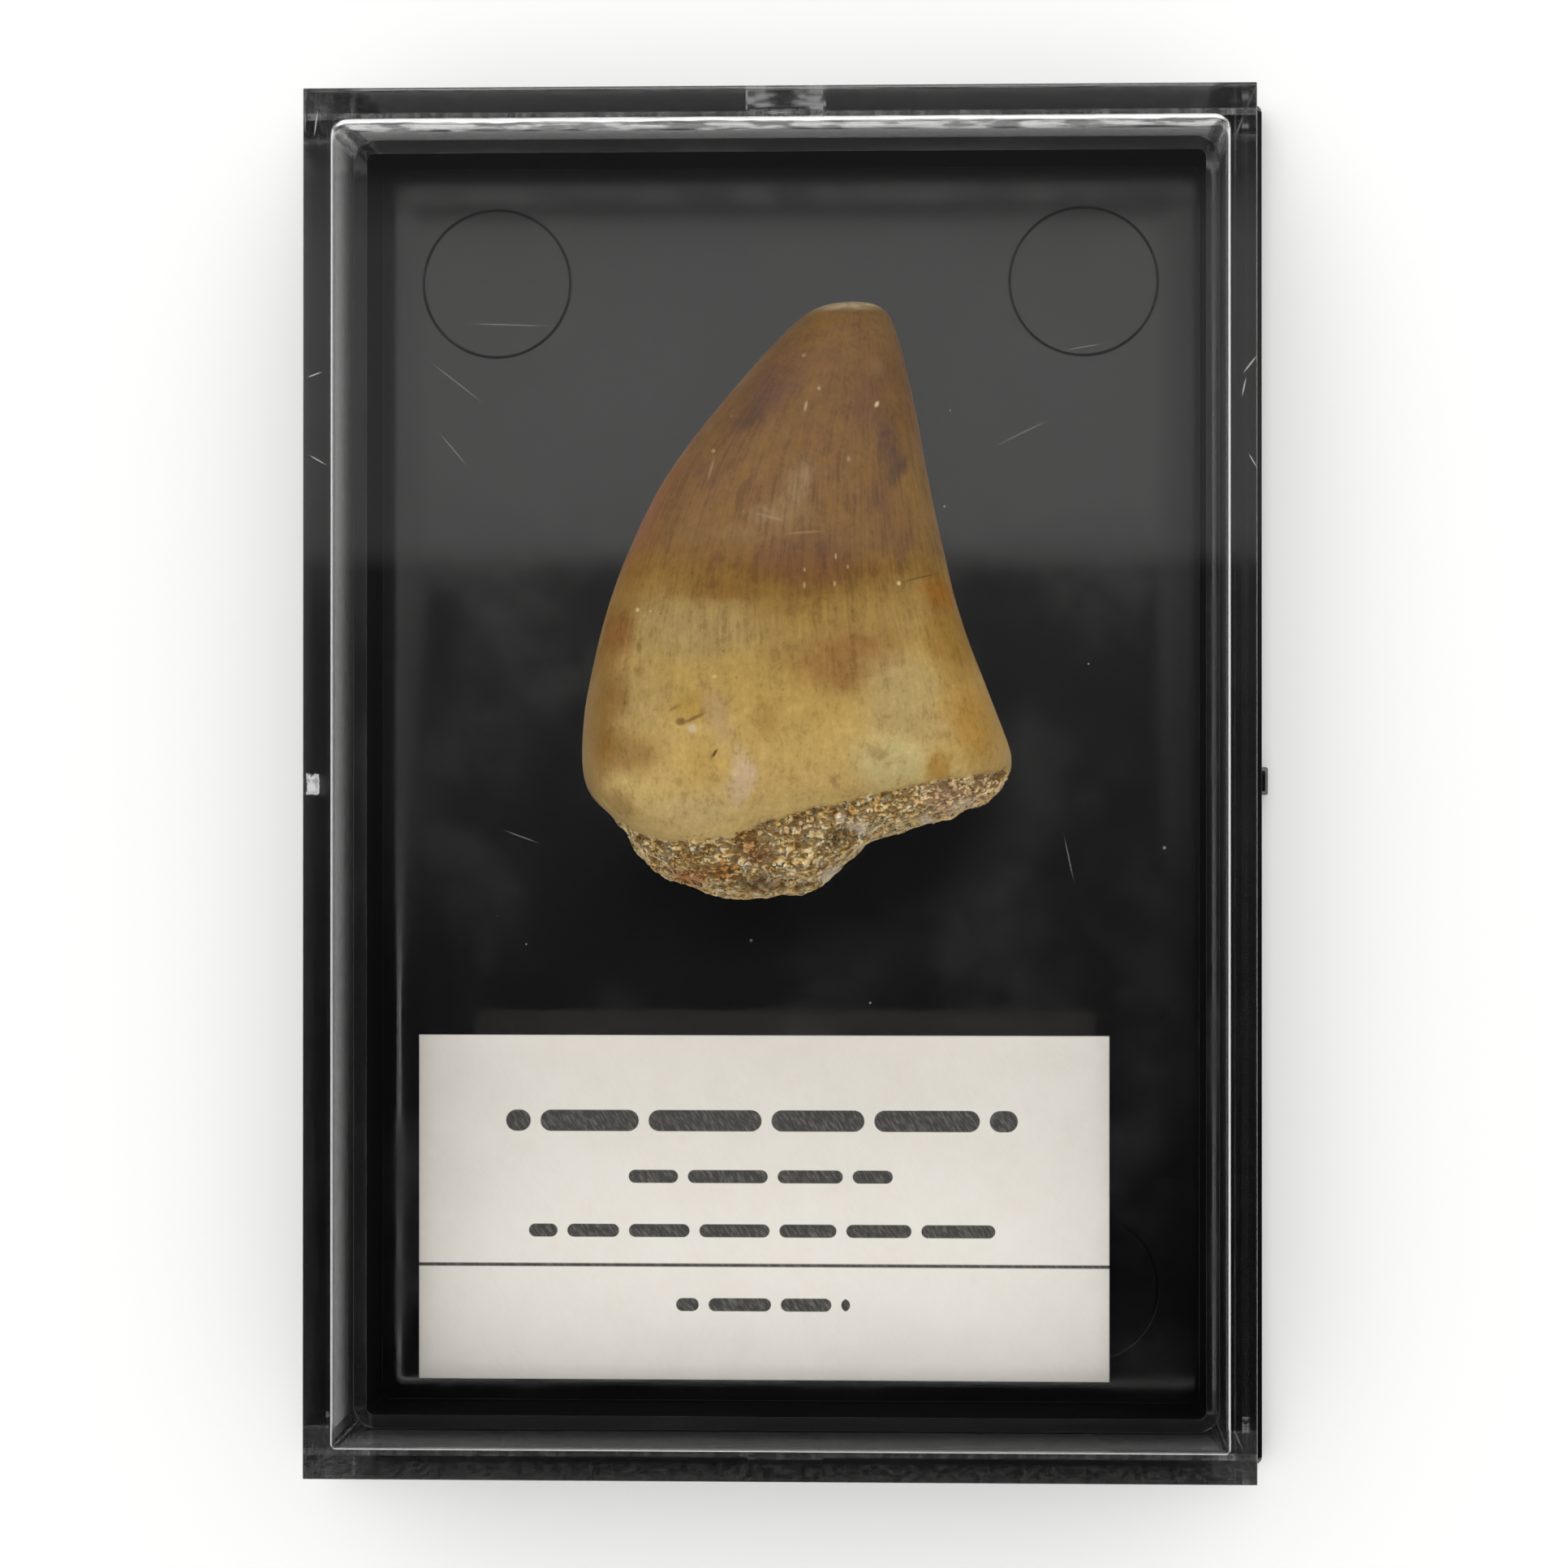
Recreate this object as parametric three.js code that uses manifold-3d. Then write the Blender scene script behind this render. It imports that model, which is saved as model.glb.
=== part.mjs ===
// Fossil mosasaur tooth in a flat two-part plastic display case, with its paper label card.
// Millimetres, +Z up. The origin is the middle of the case's underside, and the tip of the tooth
// points toward +Y. The clear lid drops over the black base and stands on its flange.
import * as THREE from 'three';
import { mergeVertices } from 'three/addons/utils/BufferGeometryUtils.js';
import Module from 'manifold-3d';

const wasm = await Module();
wasm.setup();

// ---------- Driving dimensions ----------

// Clear lid
const LID_WIDTH = 54.7;
const LID_LENGTH = 80.0;
const CASE_HEIGHT = 19.0;
const LID_WALL = 1.55;
const LID_PLATE = 1.6;
const CAVITY_CORNER_RADIUS = 1.3;
const CAVITY_FILLET = 0.7;
const LID_SEAT_GAP = 0.1; // between the lid's lower edge and the flange
const NOTCH_WIDTH = 4.5; // fingernail notches in the two short walls
const NOTCH_HEIGHT = 1.2;

// Black base
const FLANGE_REACH = 1.4; // past the lid's outer wall, all round
const FLANGE_CORNER_RADIUS = 0.5;
const FLANGE_TOP = 1.8;
const FLOOR_TOP = 2.0;
const RIM_TOP = 8.9;
const RIM_WALL = 0.8;
const RIM_CLEARANCE = 0.05; // between the upstanding rim and the lid's inner wall
const GATE_WIDTH = 1.7; // vestige of the moulding gate on the flange's right edge
const GATE_REACH = 0.4;
const GATE_Y = 0.2;
const GATE_BOTTOM = 0.3;
const GATE_TOP = 1.4;

// Label card
const CARD_WIDTH = 42.1;
const CARD_LENGTH = 21.0;
const CARD_THICKNESS = 0.3;
const CARD_CENTRE = [-1.6, -25.8];

// Tooth, seen from above. Both edges run from the tip to where the enamel ends.
const LEFT_EDGE = [
  [3.8, 29.3], [1.9, 28.8], [0.2, 27.5], [-3.4, 23.4], [-7.4, 17.9], [-10.2, 11.7],
  [-11.8, 5.4], [-12.1, 2.3], [-12.0, 0.0], [-11.4, -1.0], [-9.9, -2.3],
];
const RIGHT_EDGE = [
  [3.8, 29.3], [5.6, 28.8], [6.5, 27.4], [7.7, 22.6], [8.9, 16.3], [10.4, 10.1],
  [12.7, 3.9], [13.5, 1.7], [13.4, 0.8],
];
// Lower end of the enamel on the upper side, from the left edge to the right one
const ENAMEL_MARGIN = [[-9.9, -2.3], [-7.3, -3.4], [-3.9, -3.3], [1.1, -1.7], [7.8, -0.1], [13.4, 0.8]];
// Crest of the broken root, the outermost line of the bone
const ROOT_CREST = [
  [-9.9, -2.3], [-8.4, -4.6], [-5.4, -6.1], [-2.0, -6.7], [2.4, -5.8], [4.4, -3.6],
  [7.4, -2.6], [11.8, -1.1], [13.4, 0.8],
];
const TIP_LIFT = 1.3; // of the tip's underside above the floor
const RESTING_SINK = 0.12; // of the full curve that the small resting flat takes off
const UPPER_BULGE = [0.9, 0.58]; // height over half width, at the tip and at the root
const LOWER_BULGE = [0.8, 0.47];
const FLANK_POWER = 1.08; // above 1 the two cutting edges are slightly acute
const LIP_UPTURN = 2.3; // of the root's lower lip above the floor
const LIP_SETBACK = 1.5; // of the lower lip behind the crest
const CREST_RISE = 1.9; // of the crest's middle above its ends
const CREST_INSET = 0.02; // of its length that the crest stops short of each edge
const ENAMEL_STEP = 0.4; // of the bone below the enamel's lower end
const BONE_BULGE = 0.7;
const BONE_LUMP = 0.5;
const CROWN_LUMP = 0.1;

// Mesh of the tooth
const TOOTH_COLUMNS = 72;
const CROWN_RINGS = 40;
const BONE_RINGS = 12;

// ---------- Helpers ----------

const { lerp, smoothstep } = THREE.MathUtils;

/** A closed three.js geometry as a solid that can be joined and cut. */
function toSolid(geometry) {
  const bare = geometry.clone();
  bare.deleteAttribute('normal');
  bare.deleteAttribute('uv');
  const merged = mergeVertices(bare);
  const vertProperties = merged.attributes.position.array;
  const triVerts = new Uint32Array(merged.index.array);
  return new wasm.Manifold(new wasm.Mesh({ numProp: 3, vertProperties, triVerts }));
}

/** A joined or cut solid as a three.js geometry. */
function toGeometry(solid) {
  const { vertProperties, triVerts } = solid.getMesh();
  const geometry = new THREE.BufferGeometry();
  geometry.setAttribute('position', new THREE.BufferAttribute(vertProperties, 3));
  geometry.setIndex(new THREE.BufferAttribute(triVerts, 1));
  geometry.computeVertexNormals();
  return geometry;
}

/** A box from its size, its centre in plan and its lowest point. */
function block(width, length, height, x, y, bottom) {
  return new THREE.BoxGeometry(width, length, height).translate(x, y, bottom + height / 2);
}

/** A rectangle with rounded corners, centred on the origin. */
function roundedRectangle(width, length, radius) {
  const x = width / 2 - radius;
  const y = length / 2 - radius;
  const shape = new THREE.Shape();
  shape.absarc(x, y, radius, 0, Math.PI / 2);
  shape.absarc(-x, y, radius, Math.PI / 2, Math.PI);
  shape.absarc(-x, -y, radius, Math.PI, Math.PI * 1.5);
  shape.absarc(x, -y, radius, Math.PI * 1.5, Math.PI * 2);
  return shape;
}

/** An upright slab with rounded corners in plan. */
function roundedSlab(width, length, height, radius) {
  const outline = roundedRectangle(width, length, radius);
  return new THREE.ExtrudeGeometry(outline, { depth: height, bevelEnabled: false, curveSegments: 4 });
}

function piece(name, geometry, color, roughness, extra = {}) {
  const material = new THREE.MeshStandardMaterial({ color, roughness, metalness: 0, ...extra });
  const mesh = new THREE.Mesh(geometry, material);
  mesh.name = name;
  return mesh;
}

// ---------- Case ----------

/** Floor plate with its flange, the upstanding rim and the gate vestige. */
function caseBase() {
  const rimWidth = LID_WIDTH - 2 * (LID_WALL + RIM_CLEARANCE);
  const rimLength = LID_LENGTH - 2 * (LID_WALL + RIM_CLEARANCE);
  const rimRadius = CAVITY_CORNER_RADIUS - RIM_CLEARANCE;
  const flangeWidth = LID_WIDTH + 2 * FLANGE_REACH;
  const flangeLength = LID_LENGTH + 2 * FLANGE_REACH;

  const flange = roundedSlab(flangeWidth, flangeLength, FLANGE_TOP, FLANGE_CORNER_RADIUS);
  const tub = roundedSlab(rimWidth, rimLength, RIM_TOP, rimRadius);
  const hollow = roundedSlab(
    rimWidth - 2 * RIM_WALL, rimLength - 2 * RIM_WALL, RIM_TOP, rimRadius - RIM_WALL,
  ).translate(0, 0, FLOOR_TOP);
  const gateWidth = 2 * GATE_REACH; // half of it lies inside the flange
  const gate = block(gateWidth, GATE_WIDTH, GATE_TOP - GATE_BOTTOM, flangeWidth / 2, GATE_Y, GATE_BOTTOM);

  return toGeometry(toSolid(flange).add(toSolid(tub)).subtract(toSolid(hollow)).add(toSolid(gate)));
}

/** Clear cover: a plate with four walls, a fillet inside and two fingernail notches. */
function caseLid() {
  const bottom = FLANGE_TOP + LID_SEAT_GAP;
  const shell = block(LID_WIDTH, LID_LENGTH, CASE_HEIGHT - bottom, 0, 0, bottom);
  const ceiling = CASE_HEIGHT - LID_PLATE;
  const outline = roundedRectangle(
    LID_WIDTH - 2 * LID_WALL, LID_LENGTH - 2 * LID_WALL, CAVITY_CORNER_RADIUS,
  );
  const cavity = new THREE.ExtrudeGeometry(outline, {
    depth: ceiling - CAVITY_FILLET,
    curveSegments: 4,
    bevelThickness: CAVITY_FILLET,
    bevelSize: CAVITY_FILLET,
    bevelOffset: -CAVITY_FILLET,
    bevelSegments: 3,
  });
  const notches = block(NOTCH_WIDTH, LID_LENGTH + 2, NOTCH_HEIGHT + 1, 0, 0, bottom - 1);
  return toGeometry(toSolid(shell).subtract(toSolid(cavity)).subtract(toSolid(notches)));
}

// ---------- Tooth ----------

const plan = (points) => new THREE.SplineCurve(points.map(([x, y]) => new THREE.Vector2(x, y)));
const leftEdge = plan(LEFT_EDGE);
const rightEdge = plan(RIGHT_EDGE);
const enamelMargin = plan(ENAMEL_MARGIN);
const rootCrest = plan(ROOT_CREST);

/** Smooth unevenness between -1 and 1, the same on every run. */
function unevenness({ x, y, z }, wavelength) {
  const k = (2 * Math.PI) / wavelength;
  const slow = Math.sin(k * (x + 0.6 * z) + 1.3) * Math.cos(k * (0.8 * z - 0.5 * x) + 0.4);
  const quick = Math.sin(2.3 * k * (x - 0.4 * y) + 2.1) * Math.sin(2.1 * k * (z + 0.3 * x));
  return 0.6 * slow + 0.4 * quick;
}

/** Height of the tooth's widest line, where the upper side meets the lower one. */
function flankHeight(along, halfWidth) {
  const below = halfWidth * lerp(...LOWER_BULGE, along);
  return FLOOR_TOP - RESTING_SINK + below + TIP_LIFT * (1 - along) ** 1.5;
}

/**
 * A point of the crown's surface. along runs from the tip, 0, to the lower end of the enamel, 1,
 * and angle runs from the left edge over the upper side to the right edge and back underneath.
 */
function crownPoint(along, angle) {
  const across = (1 - Math.cos(angle)) / 2;
  const rise = Math.sin(angle);
  const left = leftEdge.getPointAt(along);
  const right = rightEdge.getPointAt(along);
  const halfWidth = left.distanceTo(right) / 2;
  const inPlan = left.lerp(right, across);

  // Toward the root the rings bend to the end of the enamel above and to the lower lip below.
  const straight = leftEdge.getPointAt(1).lerp(rightEdge.getPointAt(1), across);
  const lowerEnd = rise > 0 ? enamelMargin.getPointAt(across) : rootCrest.getPointAt(across);
  if (rise < 0) lowerEnd.y += LIP_SETBACK * rise ** 2;
  inPlan.addScaledVector(lowerEnd.sub(straight), smoothstep(along, 0.55, 1) ** 1.5);

  const [above, below] = [UPPER_BULGE, LOWER_BULGE].map((bulge) => halfWidth * lerp(...bulge, along));
  const reach = Math.abs(rise) ** FLANK_POWER;
  const upturn = LIP_UPTURN * smoothstep(along, 0.82, 1) * reach;
  const height = rise > 0 ? above * reach : upturn - below * reach;
  const point = new THREE.Vector3(inPlan.x, inPlan.y, flankHeight(along, halfWidth) + height);
  point.z += CROWN_LUMP * unevenness(point, 11) * rise ** 2 * smoothstep(halfWidth, 0, 4);
  return point;
}

/** A point of the broken bone. outward runs from where the crown's surface ends, 0, to the crest, 1. */
function bonePoint(outward, angle) {
  const rise = Math.sin(angle);
  const across = (1 - Math.cos(angle)) / 2;
  const end = rootCrest.getPointAt(lerp(CREST_INSET, 1 - CREST_INSET, across));
  const flank = crownPoint(1, 0).z;
  const crest = new THREE.Vector3(end.x, end.y, flank + CREST_RISE * rise ** 2);
  const point = crownPoint(1, angle).lerp(crest, outward);
  const bulge = BONE_BULGE * Math.sin(Math.PI * outward) * Math.abs(rise);
  point.y -= bulge;
  point.z += rise > 0 ? bulge : -bulge / 2;
  if (rise > 0) point.z -= ENAMEL_STEP * rise * Math.min(1, outward * BONE_RINGS) * (1 - outward);
  point.y -= BONE_LUMP * unevenness(point, 4.2) * rise ** 2 * smoothstep(outward, 0, 0.3);
  return point;
}

/**
 * Crown and broken root as one closed surface, from a sphere cut open at the bottom. Its last ring
 * is drawn flat, so that the bone's upper and lower sides meet along the crest and close it.
 */
function tooth() {
  const rings = CROWN_RINGS + BONE_RINGS;
  const surface = new THREE.SphereGeometry(1, TOOTH_COLUMNS, rings, 0, 2 * Math.PI, 0, Math.PI * 0.9);
  const { position } = surface.attributes;
  for (let ring = 0; ring <= rings; ring++) {
    for (let column = 0; column <= TOOTH_COLUMNS; column++) {
      const angle = (2 * Math.PI * column) / TOOTH_COLUMNS;
      const point = ring <= CROWN_RINGS
        ? crownPoint((ring / CROWN_RINGS) ** 1.2, angle)
        : bonePoint((ring - CROWN_RINGS) / BONE_RINGS, angle);
      point.z = Math.max(point.z, FLOOR_TOP);
      position.setXYZ(ring * (TOOTH_COLUMNS + 1) + column, point.x, point.y, point.z);
    }
  }
  surface.deleteAttribute('uv');
  surface.deleteAttribute('normal');
  const merged = mergeVertices(surface);
  merged.computeVertexNormals();
  return merged;
}

// ---------- Assembly ----------

const group = new THREE.Group();
group.add(piece('case_base', caseBase(), 0x0c0c0d, 0.18));
group.add(piece('case_lid', caseLid(), 0xf4f7f8, 0.05, { transparent: true, opacity: 0.25 }));
group.add(piece(
  'label_card', block(CARD_WIDTH, CARD_LENGTH, CARD_THICKNESS, ...CARD_CENTRE, FLOOR_TOP), 0xdad7d0, 0.85,
));
group.add(piece('mosasaur_tooth', tooth(), 0x9a7d4c, 0.4));

export default group;
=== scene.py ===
"""Fossil mosasaur tooth lying in a flat display case, dressed over its CAD solids.

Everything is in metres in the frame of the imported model: +Z up, the origin in the middle of the
case's underside and +Y toward the tip of the tooth. The script models the black base, the clear
lid, the paper label card and the fossil, then sets the floor, the light and the camera.
"""
import logging
import math
from collections.abc import Callable, Iterator
from contextlib import contextmanager
from dataclasses import dataclass
from enum import Enum
from functools import reduce

import bmesh
import bpy
import numpy as np
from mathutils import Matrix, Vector


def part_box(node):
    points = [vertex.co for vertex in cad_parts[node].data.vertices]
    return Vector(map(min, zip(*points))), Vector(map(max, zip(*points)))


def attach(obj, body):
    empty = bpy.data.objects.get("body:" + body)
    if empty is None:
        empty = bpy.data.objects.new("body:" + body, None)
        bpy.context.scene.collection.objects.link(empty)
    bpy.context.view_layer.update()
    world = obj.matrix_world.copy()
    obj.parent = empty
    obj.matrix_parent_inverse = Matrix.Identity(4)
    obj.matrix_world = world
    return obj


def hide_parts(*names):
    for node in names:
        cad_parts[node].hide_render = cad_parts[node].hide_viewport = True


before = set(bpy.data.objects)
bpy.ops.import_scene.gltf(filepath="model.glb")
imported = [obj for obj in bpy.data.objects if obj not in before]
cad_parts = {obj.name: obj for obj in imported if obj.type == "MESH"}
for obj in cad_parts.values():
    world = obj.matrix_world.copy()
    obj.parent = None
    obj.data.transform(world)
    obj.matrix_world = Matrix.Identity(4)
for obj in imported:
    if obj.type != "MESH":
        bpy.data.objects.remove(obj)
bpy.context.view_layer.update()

logging.basicConfig(level=logging.INFO, format="%(name)s: %(message)s")
log = logging.getLogger("display_case")

MM = 0.001
TOUCH = 0.001 * MM  # places closer than this are the same
FOLD = math.radians(57)  # faces that meet at more than this stand across each other
WEIGHT_STEPS = 20  # how many steps the weight of a point comes in
BODY = "root"

Span = tuple[float, float]
Triple = tuple[float, float, float]
Socket = bpy.types.NodeSocket
Value = Socket | float | int | tuple


# ---------- Modelling ----------


class Pick(Enum):
    """What an editing step selects."""

    POINTS = "VERT"
    EDGES = "EDGE"
    FACES = "FACE"


def pick_only(*objects: bpy.types.Object) -> None:
    """Deselect everything, then select these objects, with the first one active."""
    bpy.ops.object.select_all(action="DESELECT")
    for obj in objects:
        obj.select_set(True)
    bpy.context.view_layer.objects.active = objects[0]


class Workpiece:
    """A mesh object under the hands, shaped with the editing operators."""

    def __init__(self, obj: bpy.types.Object) -> None:
        """Take an object whose place is in its mesh."""
        self.obj = obj

    @classmethod
    def from_block(cls, name: str, low: Triple, high: Triple) -> "Workpiece":
        """Start from a block.

        Args:
            name: The name of the piece.
            low: The block's lowest corner.
            high: The block's highest corner.

        Returns:
            The block, ready to be shaped.
        """
        bpy.ops.object.select_all(action="DESELECT")
        bpy.ops.mesh.primitive_cube_add(
            size=1,
            location=[(a + b) / 2 for a, b in zip(low, high)],
            scale=[b - a for a, b in zip(low, high)],
        )
        return cls.in_place(name)

    @classmethod
    def from_ring(cls, name: str, centre: Triple, radius: float, thickness: float) -> "Workpiece":
        """Start from a flat-lying ring of diamond section.

        Args:
            name: The name of the piece.
            centre: The ring's centre.
            radius: The radius of the line that runs inside the ring.
            thickness: The diameter of the ring's own section.

        Returns:
            The ring, ready to be shaped.
        """
        bpy.ops.object.select_all(action="DESELECT")
        bpy.ops.mesh.primitive_torus_add(
            location=centre, major_radius=radius, minor_radius=thickness / 2,
            major_segments=96, minor_segments=4,
        )
        return cls.in_place(name)

    @classmethod
    def from_node(cls, name: str, node: str) -> "Workpiece":
        """Start from a merged copy of a CAD node's mesh.

        Args:
            name: The name of the piece.
            node: The CAD node to copy.

        Returns:
            The copy, one closed surface with its doubles merged.
        """
        obj = bpy.data.objects.new(name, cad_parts[node].data.copy())
        obj.data.name = name
        obj.data.materials.clear()
        bpy.context.scene.collection.objects.link(obj)
        piece = cls(obj)
        with piece.editing():
            bpy.ops.mesh.select_all(action="SELECT")
            bpy.ops.mesh.remove_doubles(threshold=TOUCH)
        return piece

    @classmethod
    def in_place(cls, name: str) -> "Workpiece":
        """Name the primitive that was just added and move its place into its mesh.

        Args:
            name: The name of the piece.

        Returns:
            The primitive, ready to be shaped.
        """
        obj = bpy.context.object
        obj.name = obj.data.name = name
        bpy.ops.object.transform_apply(location=True, rotation=True, scale=True)
        return cls(obj)

    @contextmanager
    def editing(self) -> Iterator[None]:
        """Stay in edit mode on this piece alone for as long as the block runs."""
        pick_only(self.obj)
        bpy.ops.object.mode_set(mode="EDIT")
        yield
        bpy.ops.object.mode_set(mode="OBJECT")

    def select(self, kind: Pick, wanted: Callable[..., bool]) -> int:
        """Select in edit mode what passes a test.

        Args:
            kind: Points, edges or faces.
            wanted: The test, given each of them in turn.

        Returns:
            How many were selected.
        """
        bpy.ops.mesh.select_mode(type=kind.value)
        bpy.ops.mesh.select_all(action="DESELECT")
        shape = bmesh.from_edit_mesh(self.obj.data)
        parts = {Pick.POINTS: shape.verts, Pick.EDGES: shape.edges, Pick.FACES: shape.faces}[kind]
        found = [part for part in parts if wanted(part)]
        for part in found:
            part.select_set(True)
        bmesh.update_edit_mesh(self.obj.data)
        return len(found)

    def bevel(self, wanted: Callable[..., bool], width: float, segments: int) -> None:
        """Round the edges that pass a test.

        Args:
            wanted: The test, given each edge in turn.
            width: How far the rounding reaches over each neighbouring face.
            segments: Number of faces across the rounding.
        """
        if self.select(Pick.EDGES, wanted):
            bpy.ops.mesh.bevel(
                offset=width, offset_type="OFFSET", segments=segments, affect="EDGES",
            )

    def modify(self, kind: str, **settings: object) -> None:
        """Add a modifier with its settings and apply it.

        Args:
            kind: The modifier's type.
            **settings: Its properties by name.
        """
        pick_only(self.obj)
        modifier = self.obj.modifiers.new(kind.title(), kind)
        for name, value in settings.items():
            setattr(modifier, name, value)
        bpy.ops.object.modifier_apply(modifier=modifier.name)

    def combine(self, tools: list["Workpiece"], operation: str) -> None:
        """Cut other pieces out of this one, or join them to it, and use them up.

        Args:
            tools: The other pieces.
            operation: DIFFERENCE or UNION.
        """
        for tool in tools:
            self.modify("BOOLEAN", object=tool.obj, operation=operation, solver="EXACT")
            bpy.data.objects.remove(tool.obj)

    def smooth(self, angle: float) -> None:
        """Shade the piece smooth, apart from edges sharper than an angle in degrees."""
        pick_only(self.obj)
        bpy.ops.object.shade_smooth_by_angle(angle=math.radians(angle))

    def rows(self, what: str) -> np.ndarray:
        """Read what every point of the mesh holds under a name.

        Args:
            what: The name.

        Returns:
            One row of three numbers for each point.
        """
        flat = np.empty(len(self.obj.data.vertices) * 3)
        self.obj.data.vertices.foreach_get(what, flat)
        return flat.reshape(-1, 3)

    def points(self) -> np.ndarray:
        """Return every point of the mesh, one row each."""
        return self.rows("co")

    def normals(self) -> np.ndarray:
        """Return the surface's direction at every point of the mesh, one row each."""
        return self.rows("normal")

    def set_points(self, points: np.ndarray) -> None:
        """Put every point of the mesh where its row says."""
        self.obj.data.vertices.foreach_set("co", points.ravel())
        self.obj.data.update()

    def mark(self, name: str, values: np.ndarray) -> None:
        """Store a value or a vector at each point, for the material to read.

        Args:
            name: The attribute's name.
            values: One number, or one row of three, for each point.
        """
        vector = values.ndim == 2
        kind, key = ("FLOAT_VECTOR", "vector") if vector else ("FLOAT", "value")
        attribute = self.obj.data.attributes.new(name, kind, "POINT")
        attribute.data.foreach_set(key, np.ascontiguousarray(values, np.float32).ravel())

    def group(self, name: str, weights: np.ndarray) -> str:
        """Store a weight at each point, for a modifier to read.

        Args:
            name: The vertex group's name.
            weights: One number from 0 to 1 for each point.

        Returns:
            The group's name.
        """
        group = self.obj.vertex_groups.new(name=name)
        steps = np.round(weights * WEIGHT_STEPS).astype(int)
        for step in np.unique(steps[steps > 0]):
            group.add(np.flatnonzero(steps == step).tolist(), step / WEIGHT_STEPS, "REPLACE")
        return group.name

    def finish(self, material: bpy.types.Material, node: str, slot: str) -> None:
        """Dress the piece, stand it for its CAD node and let it ride with the case.

        Args:
            material: The finish.
            node: The CAD node that it replaces.
            slot: The record's material slot; not used.
        """
        self.obj.data.materials.clear()
        self.obj.data.materials.append(material)
        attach(self.obj, BODY)
        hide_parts(node)
        self.obj.data.calc_loop_triangles()
        log.info("%s: %d triangles", self.obj.name, len(self.obj.data.loop_triangles))


def lift(height: float) -> None:
    """Extrude the selected face straight up, or down if the height is negative."""
    bpy.ops.mesh.extrude_region_move(TRANSFORM_OT_translate={"value": (0.0, 0.0, height)})


def is_upright(edge: bmesh.types.BMEdge) -> bool:
    """Tell whether an edge runs straight up."""
    a, b = (vert.co for vert in edge.verts)
    return abs(a.z - b.z) > 0.1 * MM and (a.xy - b.xy).length < TOUCH


def is_folded(edge: bmesh.types.BMEdge) -> bool:
    """Tell whether the faces beside an edge stand clearly across each other."""
    return edge.calc_face_angle(0.0) > FOLD


def lies_at(edge: bmesh.types.BMEdge, height: float) -> bool:
    """Tell whether an edge lies level at a height."""
    return all(abs(vert.co.z - height) < TOUCH for vert in edge.verts)


def within(part: bmesh.types.BMEdge | bmesh.types.BMFace, width: float, length: float) -> bool:
    """Test whether a part lies inside or on a centred rectangle, seen from above.

    Args:
        part: An edge or a face.
        width: The rectangle's width.
        length: The rectangle's length.

    Returns:
        Whether all of it does.
    """
    slack = 0.01 * MM
    return all(
        abs(vert.co.x) < width / 2 + slack and abs(vert.co.y) < length / 2 + slack
        for vert in part.verts
    )


# ---------- Node graphs ----------


def grey(level: float) -> Triple:
    """Return the grey of a level."""
    return (level, level, level)


def srgb(red: int, green: int, blue: int) -> Triple:
    """Turn a colour as seen on a screen into the shader's linear values.

    Args:
        red: Red from 0 to 255.
        green: Green from 0 to 255.
        blue: Blue from 0 to 255.

    Returns:
        The linear red, green and blue.
    """
    shares = (channel / 255 for channel in (red, green, blue))
    return tuple(s / 12.92 if s <= 0.04045 else ((s + 0.055) / 1.055) ** 2.4 for s in shares)


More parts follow.
